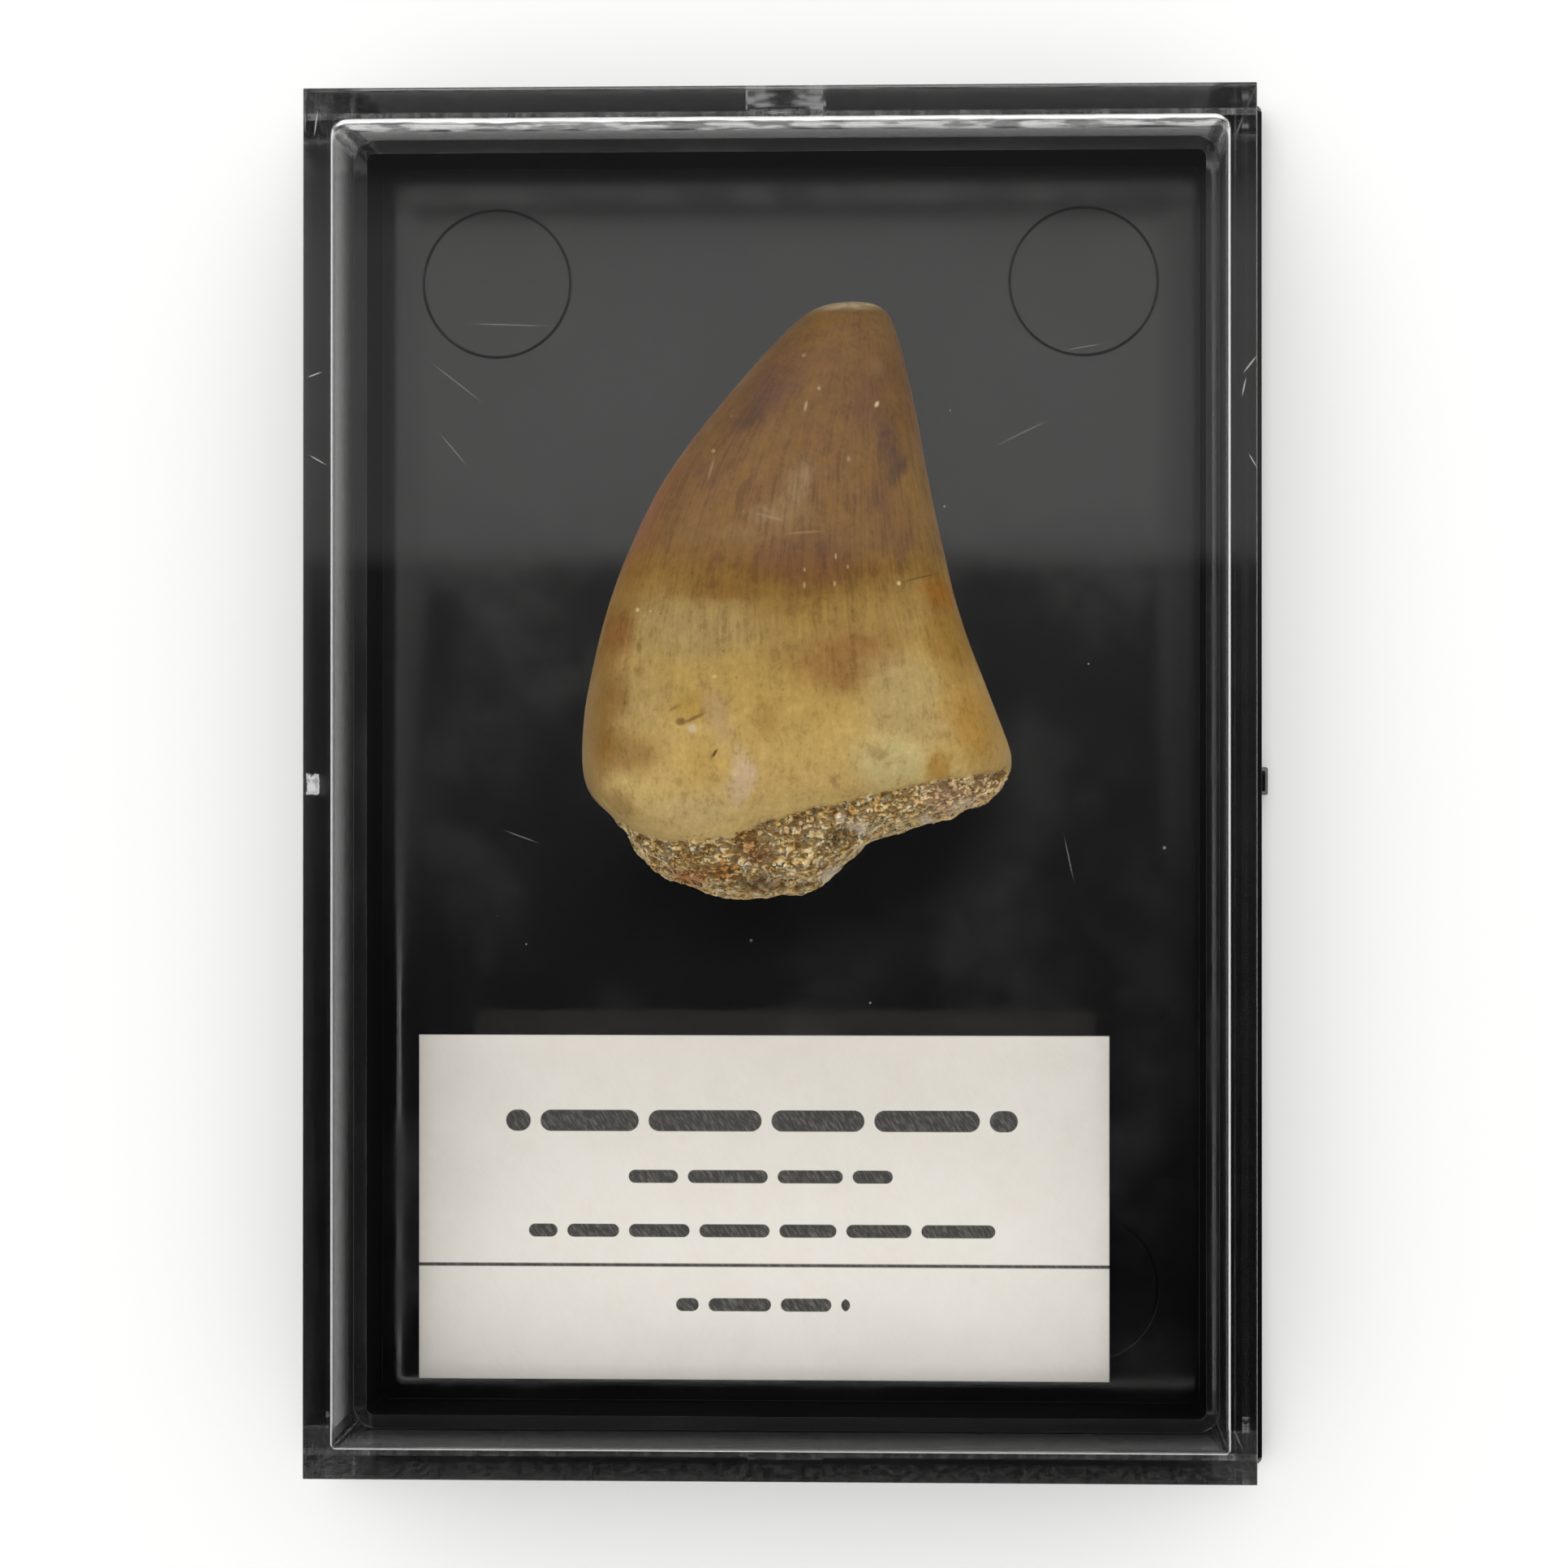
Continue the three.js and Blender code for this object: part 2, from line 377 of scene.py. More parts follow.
class Graph:
    """A node tree built up by calls, each of which returns the socket that it makes."""

    def __init__(self, tree: bpy.types.NodeTree) -> None:
        """Start from an empty tree."""
        self.tree = tree
        tree.nodes.clear()

    @classmethod
    def for_material(cls, name: str) -> tuple[bpy.types.Material, "Graph"]:
        """Make a material and the graph that fills it.

        Args:
            name: The material's name.

        Returns:
            The material and its graph.
        """
        material = bpy.data.materials.new(name)
        material.use_nodes = True
        return material, cls(material.node_tree)

    def node(self, kind: str, inputs: dict, **settings: object) -> bpy.types.Node:
        """Add a node.

        Args:
            kind: The node's type, without its ShaderNode prefix.
            inputs: Values or sockets by input name or number.
            **settings: The node's own properties.

        Returns:
            The node.
        """
        node = self.tree.nodes.new("ShaderNode" + kind)
        for name, value in settings.items():
            setattr(node, name, value)
        for name, value in inputs.items():
            if isinstance(value, bpy.types.NodeSocket):
                self.tree.links.new(value, node.inputs[name])
            else:
                colour = node.inputs[name].type == "RGBA" and len(value) == 3
                node.inputs[name].default_value = (*value, 1.0) if colour else value
        return node

    def place(self) -> Socket:
        """Return the place on the object, in metres."""
        return self.node("TexCoord", {}).outputs["Object"]

    def attribute(self, name: str, output: str = "Fac") -> Socket:
        """Return what the mesh stores at each point under a name."""
        return self.node("Attribute", {}, attribute_name=name).outputs[output]

    def math(self, operation: str, a: Value, b: Value = 0.0) -> Socket:
        """Combine two numbers."""
        return self.node("Math", {0: a, 1: b}, operation=operation).outputs[0]

    def product(self, *values: Value) -> Socket:
        """Multiply numbers."""
        return reduce(lambda a, b: self.math("MULTIPLY", a, b), values)

    def total(self, *values: Value) -> Socket:
        """Add numbers."""
        return reduce(lambda a, b: self.math("ADD", a, b), values)

    def most(self, *values: Value) -> Socket:
        """Return the largest of some numbers."""
        return reduce(lambda a, b: self.math("MAXIMUM", a, b), values)

    def above(self, value: Value, limit: Value) -> Socket:
        """Return 1 where a number is above a limit and 0 elsewhere."""
        return self.math("GREATER_THAN", value, limit)

    def below(self, value: Value, limit: Value) -> Socket:
        """Return 1 where a number is below a limit and 0 elsewhere."""
        return self.math("LESS_THAN", value, limit)

    def magnitude(self, value: Value) -> Socket:
        """Return how far a number lies from 0."""
        return self.math("ABSOLUTE", value)

    def distance(self, value: Value, other: Value) -> Socket:
        """Return how far a number lies from another."""
        return self.magnitude(self.math("SUBTRACT", value, other))

    def swing(self, noise: Value, weight: float) -> Socket:
        """Return a noise's swing to either side of 0.5, weighted."""
        return self.product(self.math("SUBTRACT", noise, 0.5), weight)

    def vector(self, operation: str, a: Value, b: Value = (0.0, 0.0, 0.0)) -> Socket:
        """Combine two vectors into a vector."""
        return self.node("VectorMath", {0: a, 1: b}, operation=operation).outputs["Vector"]

    def axes(self, vector: Socket) -> tuple[Socket, Socket, Socket]:
        """Split a vector into its three numbers."""
        return tuple(self.node("SeparateXYZ", {0: vector}).outputs)

    def framed(self, vector: Socket, centre: Triple, size: Triple, turn: float = 0.0) -> Socket:
        """Express a place in a frame of its own.

        Args:
            vector: The place.
            centre: The frame's origin.
            size: The length that counts as 1 along each of its axes.
            turn: Its turn about +Z, in degrees.

        Returns:
            The place in that frame.
        """
        inputs = {
            "Vector": vector, "Location": centre, "Scale": size,
            "Rotation": (0.0, 0.0, math.radians(turn)),
        }
        return self.node("Mapping", inputs, vector_type="TEXTURE").outputs[0]

    def nearness(self, vector: Socket, centre: Triple, reach: Triple, turn: float = 0.0) -> Socket:
        """Return how near a place is to a centre: 1 there, and 0 from a rounded patch's edge on.

        Args:
            vector: The place.
            centre: The middle of the patch.
            reach: The patch's half sizes.
            turn: Its turn about +Z, in degrees.

        Returns:
            The nearness.
        """
        spot = self.framed(vector, centre, reach, turn)
        return self.node("TexGradient", {"Vector": spot}, gradient_type="SPHERICAL").outputs["Fac"]

    def linear(
        self, value: Value, start: float, end: float, low: float = 0.0, high: float = 1.0,
        **settings: object,
    ) -> Socket:
        """Move a number from low, where value is start, to high, where it is end.

        Args:
            value: The number.
            start: Its value where the result is low.
            end: Its value where the result is high.
            low: The result at the start.
            high: The result at the end.
            **settings: The node's own properties. Without any, the way between is even.

        Returns:
            The result.
        """
        inputs = {"Value": value, "From Min": start, "From Max": end, "To Min": low, "To Max": high}
        return self.node("MapRange", inputs, **settings).outputs[0]

    def fade(
        self, value: Value, start: float, end: float, low: float = 0.0, high: float = 1.0,
    ) -> Socket:
        """Ease a number from low, where value is start, to high, where it is end."""
        return self.linear(value, start, end, low, high, interpolation_type="SMOOTHSTEP")

    def between(self, share: Value, low: Value, high: Value) -> Socket:
        """Return low where a share is 0 and high where it is 1, and evenly what lies between."""
        return self.linear(share, 0.0, 1.0, low, high)

    def noise(
        self, vector: Value, size: float, detail: float = 2.0, roughness: float = 0.5,
        output: str = "Fac",
    ) -> Socket:
        """Return soft noise round 0.5 whose features have about this size."""
        inputs = {"Vector": vector, "Scale": 1 / size, "Detail": detail, "Roughness": roughness}
        return self.node("TexNoise", inputs).outputs[output]

    def cells(self, vector: Value, size: float) -> bpy.types.bpy_prop_collection:
        """Return the outputs of cells that lie about this size apart."""
        return self.node("TexVoronoi", {"Vector": vector, "Scale": 1 / size}).outputs

    def mix(self, factor: Value, a: Value, b: Value, blend: str = "MIX") -> Socket:
        """Blend from colour a to colour b."""
        inputs = {0: factor, 6: a, 7: b}
        return self.node("Mix", inputs, data_type="RGBA", blend_type=blend).outputs[2]

    def ramp(self, value: Socket, stops: list[tuple[float, Triple]]) -> Socket:
        """Turn a number into a colour.

        Args:
            value: The number, from 0 to 1.
            stops: Pairs of a number and the colour there, in order.

        Returns:
            The colour.
        """
        node = self.node("ValToRGB", {0: value})
        elements = node.color_ramp.elements
        while len(elements) < len(stops):
            elements.new(1.0)
        for element, (position, colour) in zip(elements, stops):
            element.position = position
            element.color = (*colour, 1.0)
        return node.outputs[0]

    def bump(self, height: Socket, depth: float) -> Socket:
        """Return the surface's normal, bent over a relief of a depth in metres."""
        return self.node("Bump", {"Height": height, "Distance": depth, "Strength": 1.0}).outputs[0]

    def layered(self, share: Socket, under: bpy.types.Node, over: bpy.types.Node) -> bpy.types.Node:
        """Blend from one shader to another by a share."""
        return self.node("MixShader", {0: share, 1: under.outputs[0], 2: over.outputs[0]})

    def surface(self, inputs: dict) -> None:
        """Add the surface's shader and connect it to the output."""
        self.finish(self.node("BsdfPrincipled", inputs))

    def finish(self, shader: bpy.types.Node) -> None:
        """Connect a shader to the output."""
        self.node("OutputMaterial", {"Surface": shader.outputs[0]})


# ---------- Finishes ----------


ANY_HEIGHT = 1000.0  # the upward reach of a mark that shows from above wherever the surface lies


@dataclass(frozen=True)
class Grain:
    """Soft noise with features of one size, in millimetres, and how it fades between two levels."""

    size: float | Triple
    detail: float = 2.0
    roughness: float = 0.5
    span: Span = (0.0, 1.0)
    levels: Span = (0.0, 1.0)
    turn: float = 0.0

    def plain(self, g: Graph, place: Socket) -> Socket:
        """Build the noise itself.

        Args:
            g: The graph to build in.
            place: The place on the object.

        Returns:
            The noise, round 0.5.
        """
        if isinstance(self.size, float):
            return g.noise(place, self.size * MM, self.detail, self.roughness)
        size = tuple(side * MM for side in self.size)
        framed = g.framed(place, (0.0, 0.0, 0.0), size, self.turn)
        return g.noise(framed, 1.0, self.detail, self.roughness)

    def faded(self, g: Graph, place: Socket) -> Socket:
        """Return the noise faded between its levels."""
        return g.fade(self.plain(g, place), *self.span, *self.levels)


@dataclass(frozen=True)
class Fray:
    """A way to move a place about, in millimetres, so that an edge drawn with it is uneven."""

    size: float
    detail: float
    roughness: float
    reach: Triple

    def move(self, g: Graph, place: Socket) -> Socket:
        """Move a place about.

        Args:
            g: The graph to build in.
            place: The place on the object.

        Returns:
            The place, moved.
        """
        wander = g.noise(place, self.size * MM, self.detail, self.roughness, "Color")
        reach = tuple(side * MM for side in self.reach)
        offset = g.vector("SUBTRACT", wander, (0.5, 0.5, 0.5))
        return g.vector("ADD", place, g.vector("MULTIPLY", offset, reach))


@dataclass(frozen=True)
class Specks:
    """Scattered specks whose spacing is in millimetres, and their radii in spacings.

    The edge holds how far past its radius a speck ends, and how far past it the speck is full.
    """

    spacing: float
    rarity: float
    radii: Span
    edge: Span

    def mask(self, g: Graph, place: Socket) -> Socket:
        """Scatter the specks.

        Args:
            g: The graph to build in.
            place: The place on the object.

        Returns:
            1 on a speck and 0 off it.
        """
        cells = g.cells(place, self.spacing * MM)
        radius = g.fade(cells["Color"], self.rarity, 1.0, *self.radii)
        return g.fade(g.math("SUBTRACT", cells["Distance"], radius), *self.edge)


@dataclass(frozen=True)
class Hairline:
    """A single fine scratch, as it lies seen from above, in millimetres and degrees."""

    x: float
    y: float
    length: float
    turn: float
    width: float = 0.06

    def mask(self, g: Graph, place: Socket) -> Socket:
        """Draw the scratch.

        Args:
            g: The graph to build in.
            place: The place on the object.

        Returns:
            1 on the scratch and 0 off it.
        """
        reach = (self.width * MM, self.length / 2 * MM, ANY_HEIGHT)
        near = g.nearness(place, (self.x * MM, self.y * MM, 0.0), reach, self.turn)
        return g.fade(near, 0.0, 0.6)


@dataclass(frozen=True)
class BlackPolystyrene:
    """Black moulding: high gloss with hairlines and dust, duller on the rim, matt on its sides,
    with a painted shadow round the tooth.
    """

    colour: Triple = srgb(12, 12, 13)
    matt_colour: Triple = srgb(20, 20, 21)
    matt_roughness: float = 0.9
    ior: float = 2.0
    gloss: float = 1.0
    veil: Grain = Grain(14.0)
    veil_tint: Triple = (1.0, 0.965, 0.925)
    smear: Grain = Grain(9.0, 4.0, 0.6)
    smear_span: Span = (0.35, 0.72)
    polish: Span = (0.03, 0.13)
    film: Grain = Grain(0.22, 5.0, 0.75, (0.5, 0.8), (0.0, 0.018))
    dust: Specks = Specks(1.9, 0.45, (-0.01, 0.05), (0.012, 0.0))
    dust_colour: Triple = srgb(168, 166, 160)
    dust_white: float = 0.5
    hairline_white: float = 0.26
    floor_top: float = 2.0 * MM
    floor_half: Span = (24.95 * MM, 37.6 * MM)
    border: float = 3.2 * MM
    border_wear: float = 0.14
    border_wear_y: Span = (-20.0 * MM, 0.0)
    border_dullness: float = 0.35
    far_border: float = 4.0 * MM
    far_dullness: float = 0.72
    # painted shadow: a matt patch round the tooth's root takes away the floor's gloss, so the floor
    # darkens where the tooth's contact shadow falls
    shadow_patch_centre: Triple = (1.4 * MM, -4.6 * MM, 0.0)
    shadow_patch_size: Triple = (16.1 * MM, 6.44 * MM, ANY_HEIGHT)
    shadow_patch_turn: float = 13.0
    shadow_patch_full: float = 0.48
    shadow_patch_dullness: float = 0.85
    rim: float = 0.85 * MM
    rim_foot: float = 1.0 * MM
    clear: float = 0.003 * MM
    upright_span: Span = (0.7, 0.3)
    top_dullness: float = 0.66
    flange_dullness: float = 0.6
    hairlines: tuple[Hairline, ...] = (
        Hairline(-17.2, 28.1, 7.0, 88), Hairline(17.9, 26.6, 3.4, 100),
        Hairline(-20.4, 24.6, 6.0, 52), Hairline(-20.6, 20.5, 4.2, 40),
        Hairline(14.2, 21.4, 5.0, -64), Hairline(17.0, -4.5, 3.6, 12),
        Hairline(-16.4, -3.2, 3.0, 70),
    )

    def marks(self, g: Graph, place: Socket) -> Socket:
        """Lay dust, film and scratches on the moulding.

        Args:
            g: The graph to build in.
            place: The place on the object.

        Returns:
            How much of them shows there.
        """
        scored = g.most(*(hairline.mask(g, place) for hairline in self.hairlines))
        dusty = g.product(self.dust.mask(g, place), self.dust_white)
        return g.most(dusty, g.product(scored, self.hairline_white), self.film.faded(g, place))

    def matt_share(self, g: Graph, place: Socket, from_wall: Socket) -> Socket:
        """Find where the moulding has lost its gloss, and where a painted shadow dulls the floor
        round the tooth's root.

        Args:
            g: The graph to build in.
            place: The place on the object.
            from_wall: How far inside the rim it lies, seen from above.

        Returns:
            How much of the gloss is gone.
        """
        _, y, z = g.axes(place)
        _, _, up = g.axes(g.node("TexCoord", {}).outputs["Normal"])
        upright = g.fade(g.magnitude(up), *self.upright_span, self.top_dullness, 1.0)
        low = g.below(z, self.floor_top + self.rim_foot)
        rim = g.product(g.above(z, self.floor_top + self.clear), g.most(upright, low))
        from_end = g.math("SUBTRACT", self.floor_half[1], y)
        far = g.fade(from_end, self.far_border, 0.5 * self.far_border, 0.0, self.far_dullness)
        border = g.fade(from_wall, self.border, 0.3 * self.border, 0.0, self.border_dullness)
        # painted shadow round the tooth's root, made by taking away the floor's gloss there
        shadow_patch = g.nearness(place, self.shadow_patch_centre, self.shadow_patch_size, self.shadow_patch_turn)
        shadow_patch = g.fade(shadow_patch, 0.0, self.shadow_patch_full, 0.0, self.shadow_patch_dullness)
        floor = g.product(g.above(from_wall, 0.0), g.most(far, border, shadow_patch))
        return g.most(rim, floor, g.product(g.below(from_wall, -self.rim), self.flange_dullness))

    def make(self) -> bpy.types.Material:
        """Make the finish.

        Returns:
            The material.
        """
        material, g = Graph.for_material("black_polystyrene")
        place = g.place()
        x, y, _ = g.axes(place)
        from_side = g.math("SUBTRACT", self.floor_half[0], g.magnitude(x))
        from_end = g.math("SUBTRACT", self.floor_half[1], g.magnitude(y))
        from_wall = g.math("MINIMUM", from_side, from_end)
        marked = self.marks(g, place)
        smear = self.smear.plain(g, place)
        rubbed = g.fade(from_wall, self.far_border, 0.5 * self.border, 0.0, self.border_wear)
        rubbed = g.product(g.above(from_wall, 0.0), rubbed, g.fade(y, *self.border_wear_y))
        polished = g.fade(smear, *self.smear_span, *self.polish)
        glossy = g.node("BsdfPrincipled", {
            "Base Color": g.mix(marked, self.colour, self.dust_colour),
            "Roughness": g.most(polished, rubbed, g.product(marked, self.matt_roughness)),
            "IOR": self.ior, "Specular IOR Level": self.gloss,
            "Specular Tint": g.mix(self.veil.plain(g, place), (1.0, 1.0, 1.0), self.veil_tint),
        })
        matt = g.node("BsdfPrincipled", {
            "Base Color": g.mix(smear, self.colour, self.matt_colour),
            "Roughness": self.matt_roughness, "Specular IOR Level": 0.0,
        })
        g.finish(g.layered(self.matt_share(g, place, from_wall), glossy, matt))
        return material


@dataclass(frozen=True)
class LidPlace:
    """A place on the lid, measured against the lid's faces.

    Across and along are its distances from the lid's middle. Past side and past end are how far it
    lies beyond the cavity's side walls and end walls. In far wall and outside are 1 in the far
    wall and on the outer faces of the walls.
    """

    at: Socket
    x: Socket
    y: Socket
    z: Socket
    across: Socket
    along: Socket
    past_side: Socket
    past_end: Socket
    in_far_wall: Socket
    outside: Socket


@dataclass(frozen=True)
class ClearPolystyrene:
    """Clear moulding with polished faces, rubbed sides and a frosted gate scar, with light and
    shade painted on its walls and edges.

    Its mirror images and its view of what lies behind come from the glass itself. The soft light
    that falls through it on the paper and the fossil passes straight, dimmed at each surface.
    """

    tint: Triple = (1.0, 1.0, 1.0)
    passes: Triple = (0.95, 0.95, 0.95)
    ior: float = 1.57
    half_width: float = 27.35 * MM
    half_length: float = 40.0 * MM
    top: float = 19.0 * MM
    ceiling: float = 17.4 * MM
    wall: Span = (1.42 * MM, 1.55 * MM)
    skin: float = 0.2 * MM
    far_wall: float = 2.4 * MM

    # The outer faces, the corners and the scar.
    rub: float = 0.07
    side_haze: float = 0.012
    end_haze: float = 0.12
    # painted light: the outer haze thins toward the near end
    near_end_light: float = 0.8
    near_end_light_y: Span = (-39.0 * MM, 12.0 * MM)
    low_share: float = 1.7
    low_z: Span = (10.0 * MM, 6.0 * MM)
    scuffs: Grain = Grain((0.5, 0.5, 3.6), 6.0, 0.8, (0.42, 0.66), (0.15, 1.1))
    knock_reach: float = 2.4 * MM
    knocks: Grain = Grain(0.8, 4.0, 0.65, (0.52, 0.62), (0.0, 0.16))
    scratch_white: float = 0.3
    scratches: tuple[Hairline, ...] = (
        Hairline(26.95, 23.9, 1.5, -38, 0.07), Hairline(26.6, 22.6, 1.3, -12, 0.06),
        Hairline(27.1, 18.4, 1.2, 30, 0.05), Hairline(-26.7, 23.5, 1.2, -70, 0.06),
        Hairline(-26.5, 18.6, 1.4, 60, 0.05), Hairline(-26.6, 38.0, 1.8, -8, 0.06),
    )
    scar_centre: Triple = (-26.75 * MM, -0.08 * MM, 19.0 * MM)
    scar_size: Triple = (0.38 * MM, 0.62 * MM, 0.7 * MM)
    scar_edge: Span = (1.55, 1.35)
    scar_white: float = 0.5
    tear: Grain = Grain(0.3, 3.0)
    tear_span: Span = (0.3, 0.6)
    tear_levels: Span = (0.5, 1.0)
    frost: float = 0.55

    # The cavity's walls, the far wall's foot and the notch.
    face: float = 0.06 * MM
    # painted light: a white haze on the cavity's walls, strongest on the end walls and toward the
    # far end, stands in for light coming through them
    inner_wall_light: Span = (0.04, 0.20)
    inner_light_y: Span = (-36.0 * MM, 20.0 * MM)
    foot: float = 1.9 * MM
    foot_haze: float = 0.3
    grit: Grain = Grain(0.4, 4.0, 0.7, (0.4, 0.65), (0.25, 1.0))
    notch_half: float = 2.4 * MM
    notch_top: float = 5.5 * MM
    filing: Grain = Grain((1.6, 0.3, 0.3), 3.0, 0.5, (0.45, 0.6), (0.0, 0.35))

    # The tint with its painted shade, the cavity's upper edge and its far fillet.
    # painted shade: the tint darkens the near wall's inner face
    near_wall_shade: float = 0.13
    fillet: float = 0.9 * MM
    # painted shade over the far fillet's glint: patches of darker tint break the bright line up,
    # and darken it next to the wall
    fillet_shade: float = 0.12
    glints: Grain = Grain((2.6, 0.5, 0.5), 2.0, 0.5, (0.56, 0.40))
    glint_foot: Span = (-0.4 * MM, -0.15 * MM)
    glint_foot_shade: float = 0.9
    waves: Grain = Grain((4.4, 1.0, 1.0))
    wave_reach: Span = (0.9 * MM, 0.5 * MM)
    wave_depth: float = 0.3 * MM
    ripple: float = 0.12 * MM
    edge_depth: float = 0.1 * MM
    edge_half: float = 0.13 * MM
    edge_width: float = 0.3 * MM
    edge_rub: float = 0.18
    # painted shade on the cavity's upper edge at the left and at the near end
    edge_shade: float = 0.25
    left_shade_share: float = 0.7
    near_reach: float = 3.0 * MM

    def measure(self, g: Graph) -> LidPlace:
        """Measure a place against the lid's faces.

        Args:
            g: The graph to build in.

        Returns:
            The place, measured.
        """
        at = g.place()
        x, y, z = g.axes(at)
        across, along = g.magnitude(x), g.magnitude(y)
        beside = g.math("SUBTRACT", across, self.half_width - self.skin)
        beyond = g.math("SUBTRACT", along, self.half_length - self.skin)
        upright = g.above(g.most(beside, beyond), 0.0)
        return LidPlace(
            at, x, y, z, across, along,
            past_side=g.math("SUBTRACT", across, self.half_width - self.wall[0]),
            past_end=g.math("SUBTRACT", along, self.half_length - self.wall[1]),
            in_far_wall=g.above(y, self.half_length - self.far_wall),
            outside=g.product(upright, g.below(z, self.top - self.skin)),
        )

    def scar(self, g: Graph, spot: LidPlace) -> Socket:
        """Tear the surface where the moulding gate was broken off.

        Args:
            g: The graph to build in.
            spot: The place.

        Returns:
            How torn the surface is there.
        """
        tear = self.tear.plain(g, spot.at)
        away = g.vector("ABSOLUTE", g.framed(spot.at, self.scar_centre, self.scar_size))
        reach = g.fade(g.total(g.most(*g.axes(away)), tear), *self.scar_edge)
        return g.product(reach, g.fade(tear, *self.tear_span, *self.tear_levels))

    def outer_haze(self, g: Graph, spot: LidPlace) -> Socket:
        """Build the haze of the outer faces: scuffed sides, knocked corners and scratches, with
        painted light that thins it toward the near end.

        Args:
            g: The graph to build in.
            spot: The place.

        Returns:
            How hazy the place is.
        """
        at_end = g.above(spot.along, self.half_length - self.skin)
        low_down = g.product(spot.in_far_wall, g.fade(spot.z, *self.low_z))
        # partly painted light: the scuffs are real wear, but the haze thins toward the near end so
        # the walls read brighter toward the light
        scuffed = g.product(
            g.between(at_end, self.side_haze, self.end_haze),
            g.fade(spot.y, *self.near_end_light_y, self.near_end_light, 1.0),
            g.between(low_down, 1.0, self.low_share), self.scuffs.faded(g, spot.at),
        )
        at_corner = g.product(
            g.above(spot.along, self.half_length - self.knock_reach),
            g.above(spot.across, self.half_width - self.knock_reach),
        )
        knocked = g.product(at_corner, self.knocks.faded(g, spot.at))
        scored = g.most(*(scratch.mask(g, spot.at) for scratch in self.scratches))
        on_top = g.above(spot.z, self.top - 0.5 * self.skin)
        scratched = g.product(scored, on_top, self.scratch_white)
        return g.most(g.product(spot.outside, g.most(scuffed, knocked)), scratched)

    def inner_haze_share(self, g: Graph, spot: LidPlace, inner: Socket) -> Socket:
        """Build the painted light on the inner walls, and the haze of the far wall's foot and round
        its notch.

        Args:
            g: The graph to build in.
            spot: The place.
            inner: 1 on the cavity's walls and 0 off them.

        Returns:
            How hazy the place is.
        """
        # painted light: the inner walls get a white haze, more on the ends and fading toward the
        # near end, standing in for light through the walls
        at_end = g.above(spot.past_end, spot.past_side)
        inner_light = g.product(g.between(at_end, *self.inner_wall_light), g.fade(spot.y, *self.inner_light_y))
        at_foot = g.product(g.below(spot.z, self.foot), spot.in_far_wall)
        gritty = g.product(at_foot, self.grit.faded(g, spot.at), self.foot_haze)
        at_notch = g.product(
            g.below(spot.across, self.notch_half), g.above(spot.y, 0.0),
            g.below(spot.z, self.notch_top),
        )
        filed = g.product(at_notch, self.filing.faded(g, spot.at))
        return g.most(g.product(inner, inner_light), gritty, filed)

    def colour(self, g: Graph, spot: LidPlace, inner: Socket, edge: Socket) -> Socket:
        """Paint shade into the tint: on the near wall, in patches along the far fillet and on the
        upper edge at the left and the near end.

        Args:
            g: The graph to build in.
            spot: The place.
            inner: 1 on the cavity's walls and 0 off them.
            edge: 1 on the cavity's upper edge and 0 off it.

        Returns:
            The tint.
        """
        # painted shade: the tint darkens the near wall's inner face, the side away from the light
        on_near_wall = g.below(spot.y, self.wall[1] - self.half_length + MM)
        dimmed = g.mix(g.product(inner, on_near_wall), self.tint, grey(self.near_wall_shade))
        # painted shade: patches of darker tint along the far fillet break its glint into pieces and
        # dim it next to the wall
        height = g.distance(spot.z, self.ceiling - 0.5 * self.fillet)
        on_fillet = g.product(
            g.above(spot.past_end, -self.fillet), g.below(spot.past_end, self.skin),
            g.below(height, 0.6 * self.fillet), spot.in_far_wall,
        )
        foot = g.fade(spot.past_end, *self.glint_foot, 0.0, self.glint_foot_shade)
        glint_shade = g.product(on_fillet, g.most(self.glints.faded(g, spot.at), foot))
        dimmed = g.mix(glint_shade, dimmed, grey(self.fillet_shade))
        # painted shade: the cavity's upper edge darkens on the left and at the near end, away from
        # the light
        at_left = g.product(g.below(spot.x, 0.0), self.left_shade_share)
        at_near_end = g.below(spot.y, self.near_reach - self.half_length)
        shaded_edge = g.product(edge, g.most(at_left, at_near_end))
        return g.mix(shaded_edge, dimmed, grey(self.edge_shade))

    def make(self) -> bpy.types.Material:
        """Make the finish.

        Returns:
            The material.
        """
        material, g = Graph.for_material("clear_polystyrene")
        spot = self.measure(g)
        scar = self.scar(g, spot)
        past_wall = g.most(spot.past_side, spot.past_end)
        on_wall = g.below(g.magnitude(past_wall), self.face)
        inner = g.product(on_wall, g.below(spot.z, self.ceiling - self.edge_depth))
        at_edge = g.below(g.distance(spot.z, self.ceiling - self.edge_depth), self.edge_half)
        edge = g.product(at_edge, g.above(past_wall, -self.edge_width))
        near_fillet = g.distance(spot.z, self.ceiling - self.wave_depth)
        near_fillet = g.product(g.fade(near_fillet, *self.wave_reach), spot.in_far_wall)
        ripples = g.product(self.waves.plain(g, spot.at), near_fillet)
        hazy = g.most(
            self.outer_haze(g, spot), self.inner_haze_share(g, spot, inner),
            g.product(scar, self.scar_white),
        )
        roughness = g.most(
            g.product(spot.outside, self.rub), g.product(edge, self.edge_rub),
            g.product(scar, self.frost),
        )
        glass = g.node("BsdfPrincipled", {
            "Base Color": self.colour(g, spot, inner, edge), "Roughness": roughness,
            "Normal": g.bump(ripples, self.ripple), "IOR": self.ior,
            "Transmission Weight": g.math("SUBTRACT", 1.0, hazy),
        })
        ray = g.node("LightPath", {}).outputs
        soft = g.most(ray["Is Diffuse Ray"], ray["Is Shadow Ray"])
        g.finish(g.layered(soft, glass, g.node("BsdfTransparent", {"Color": self.passes})))
        return material


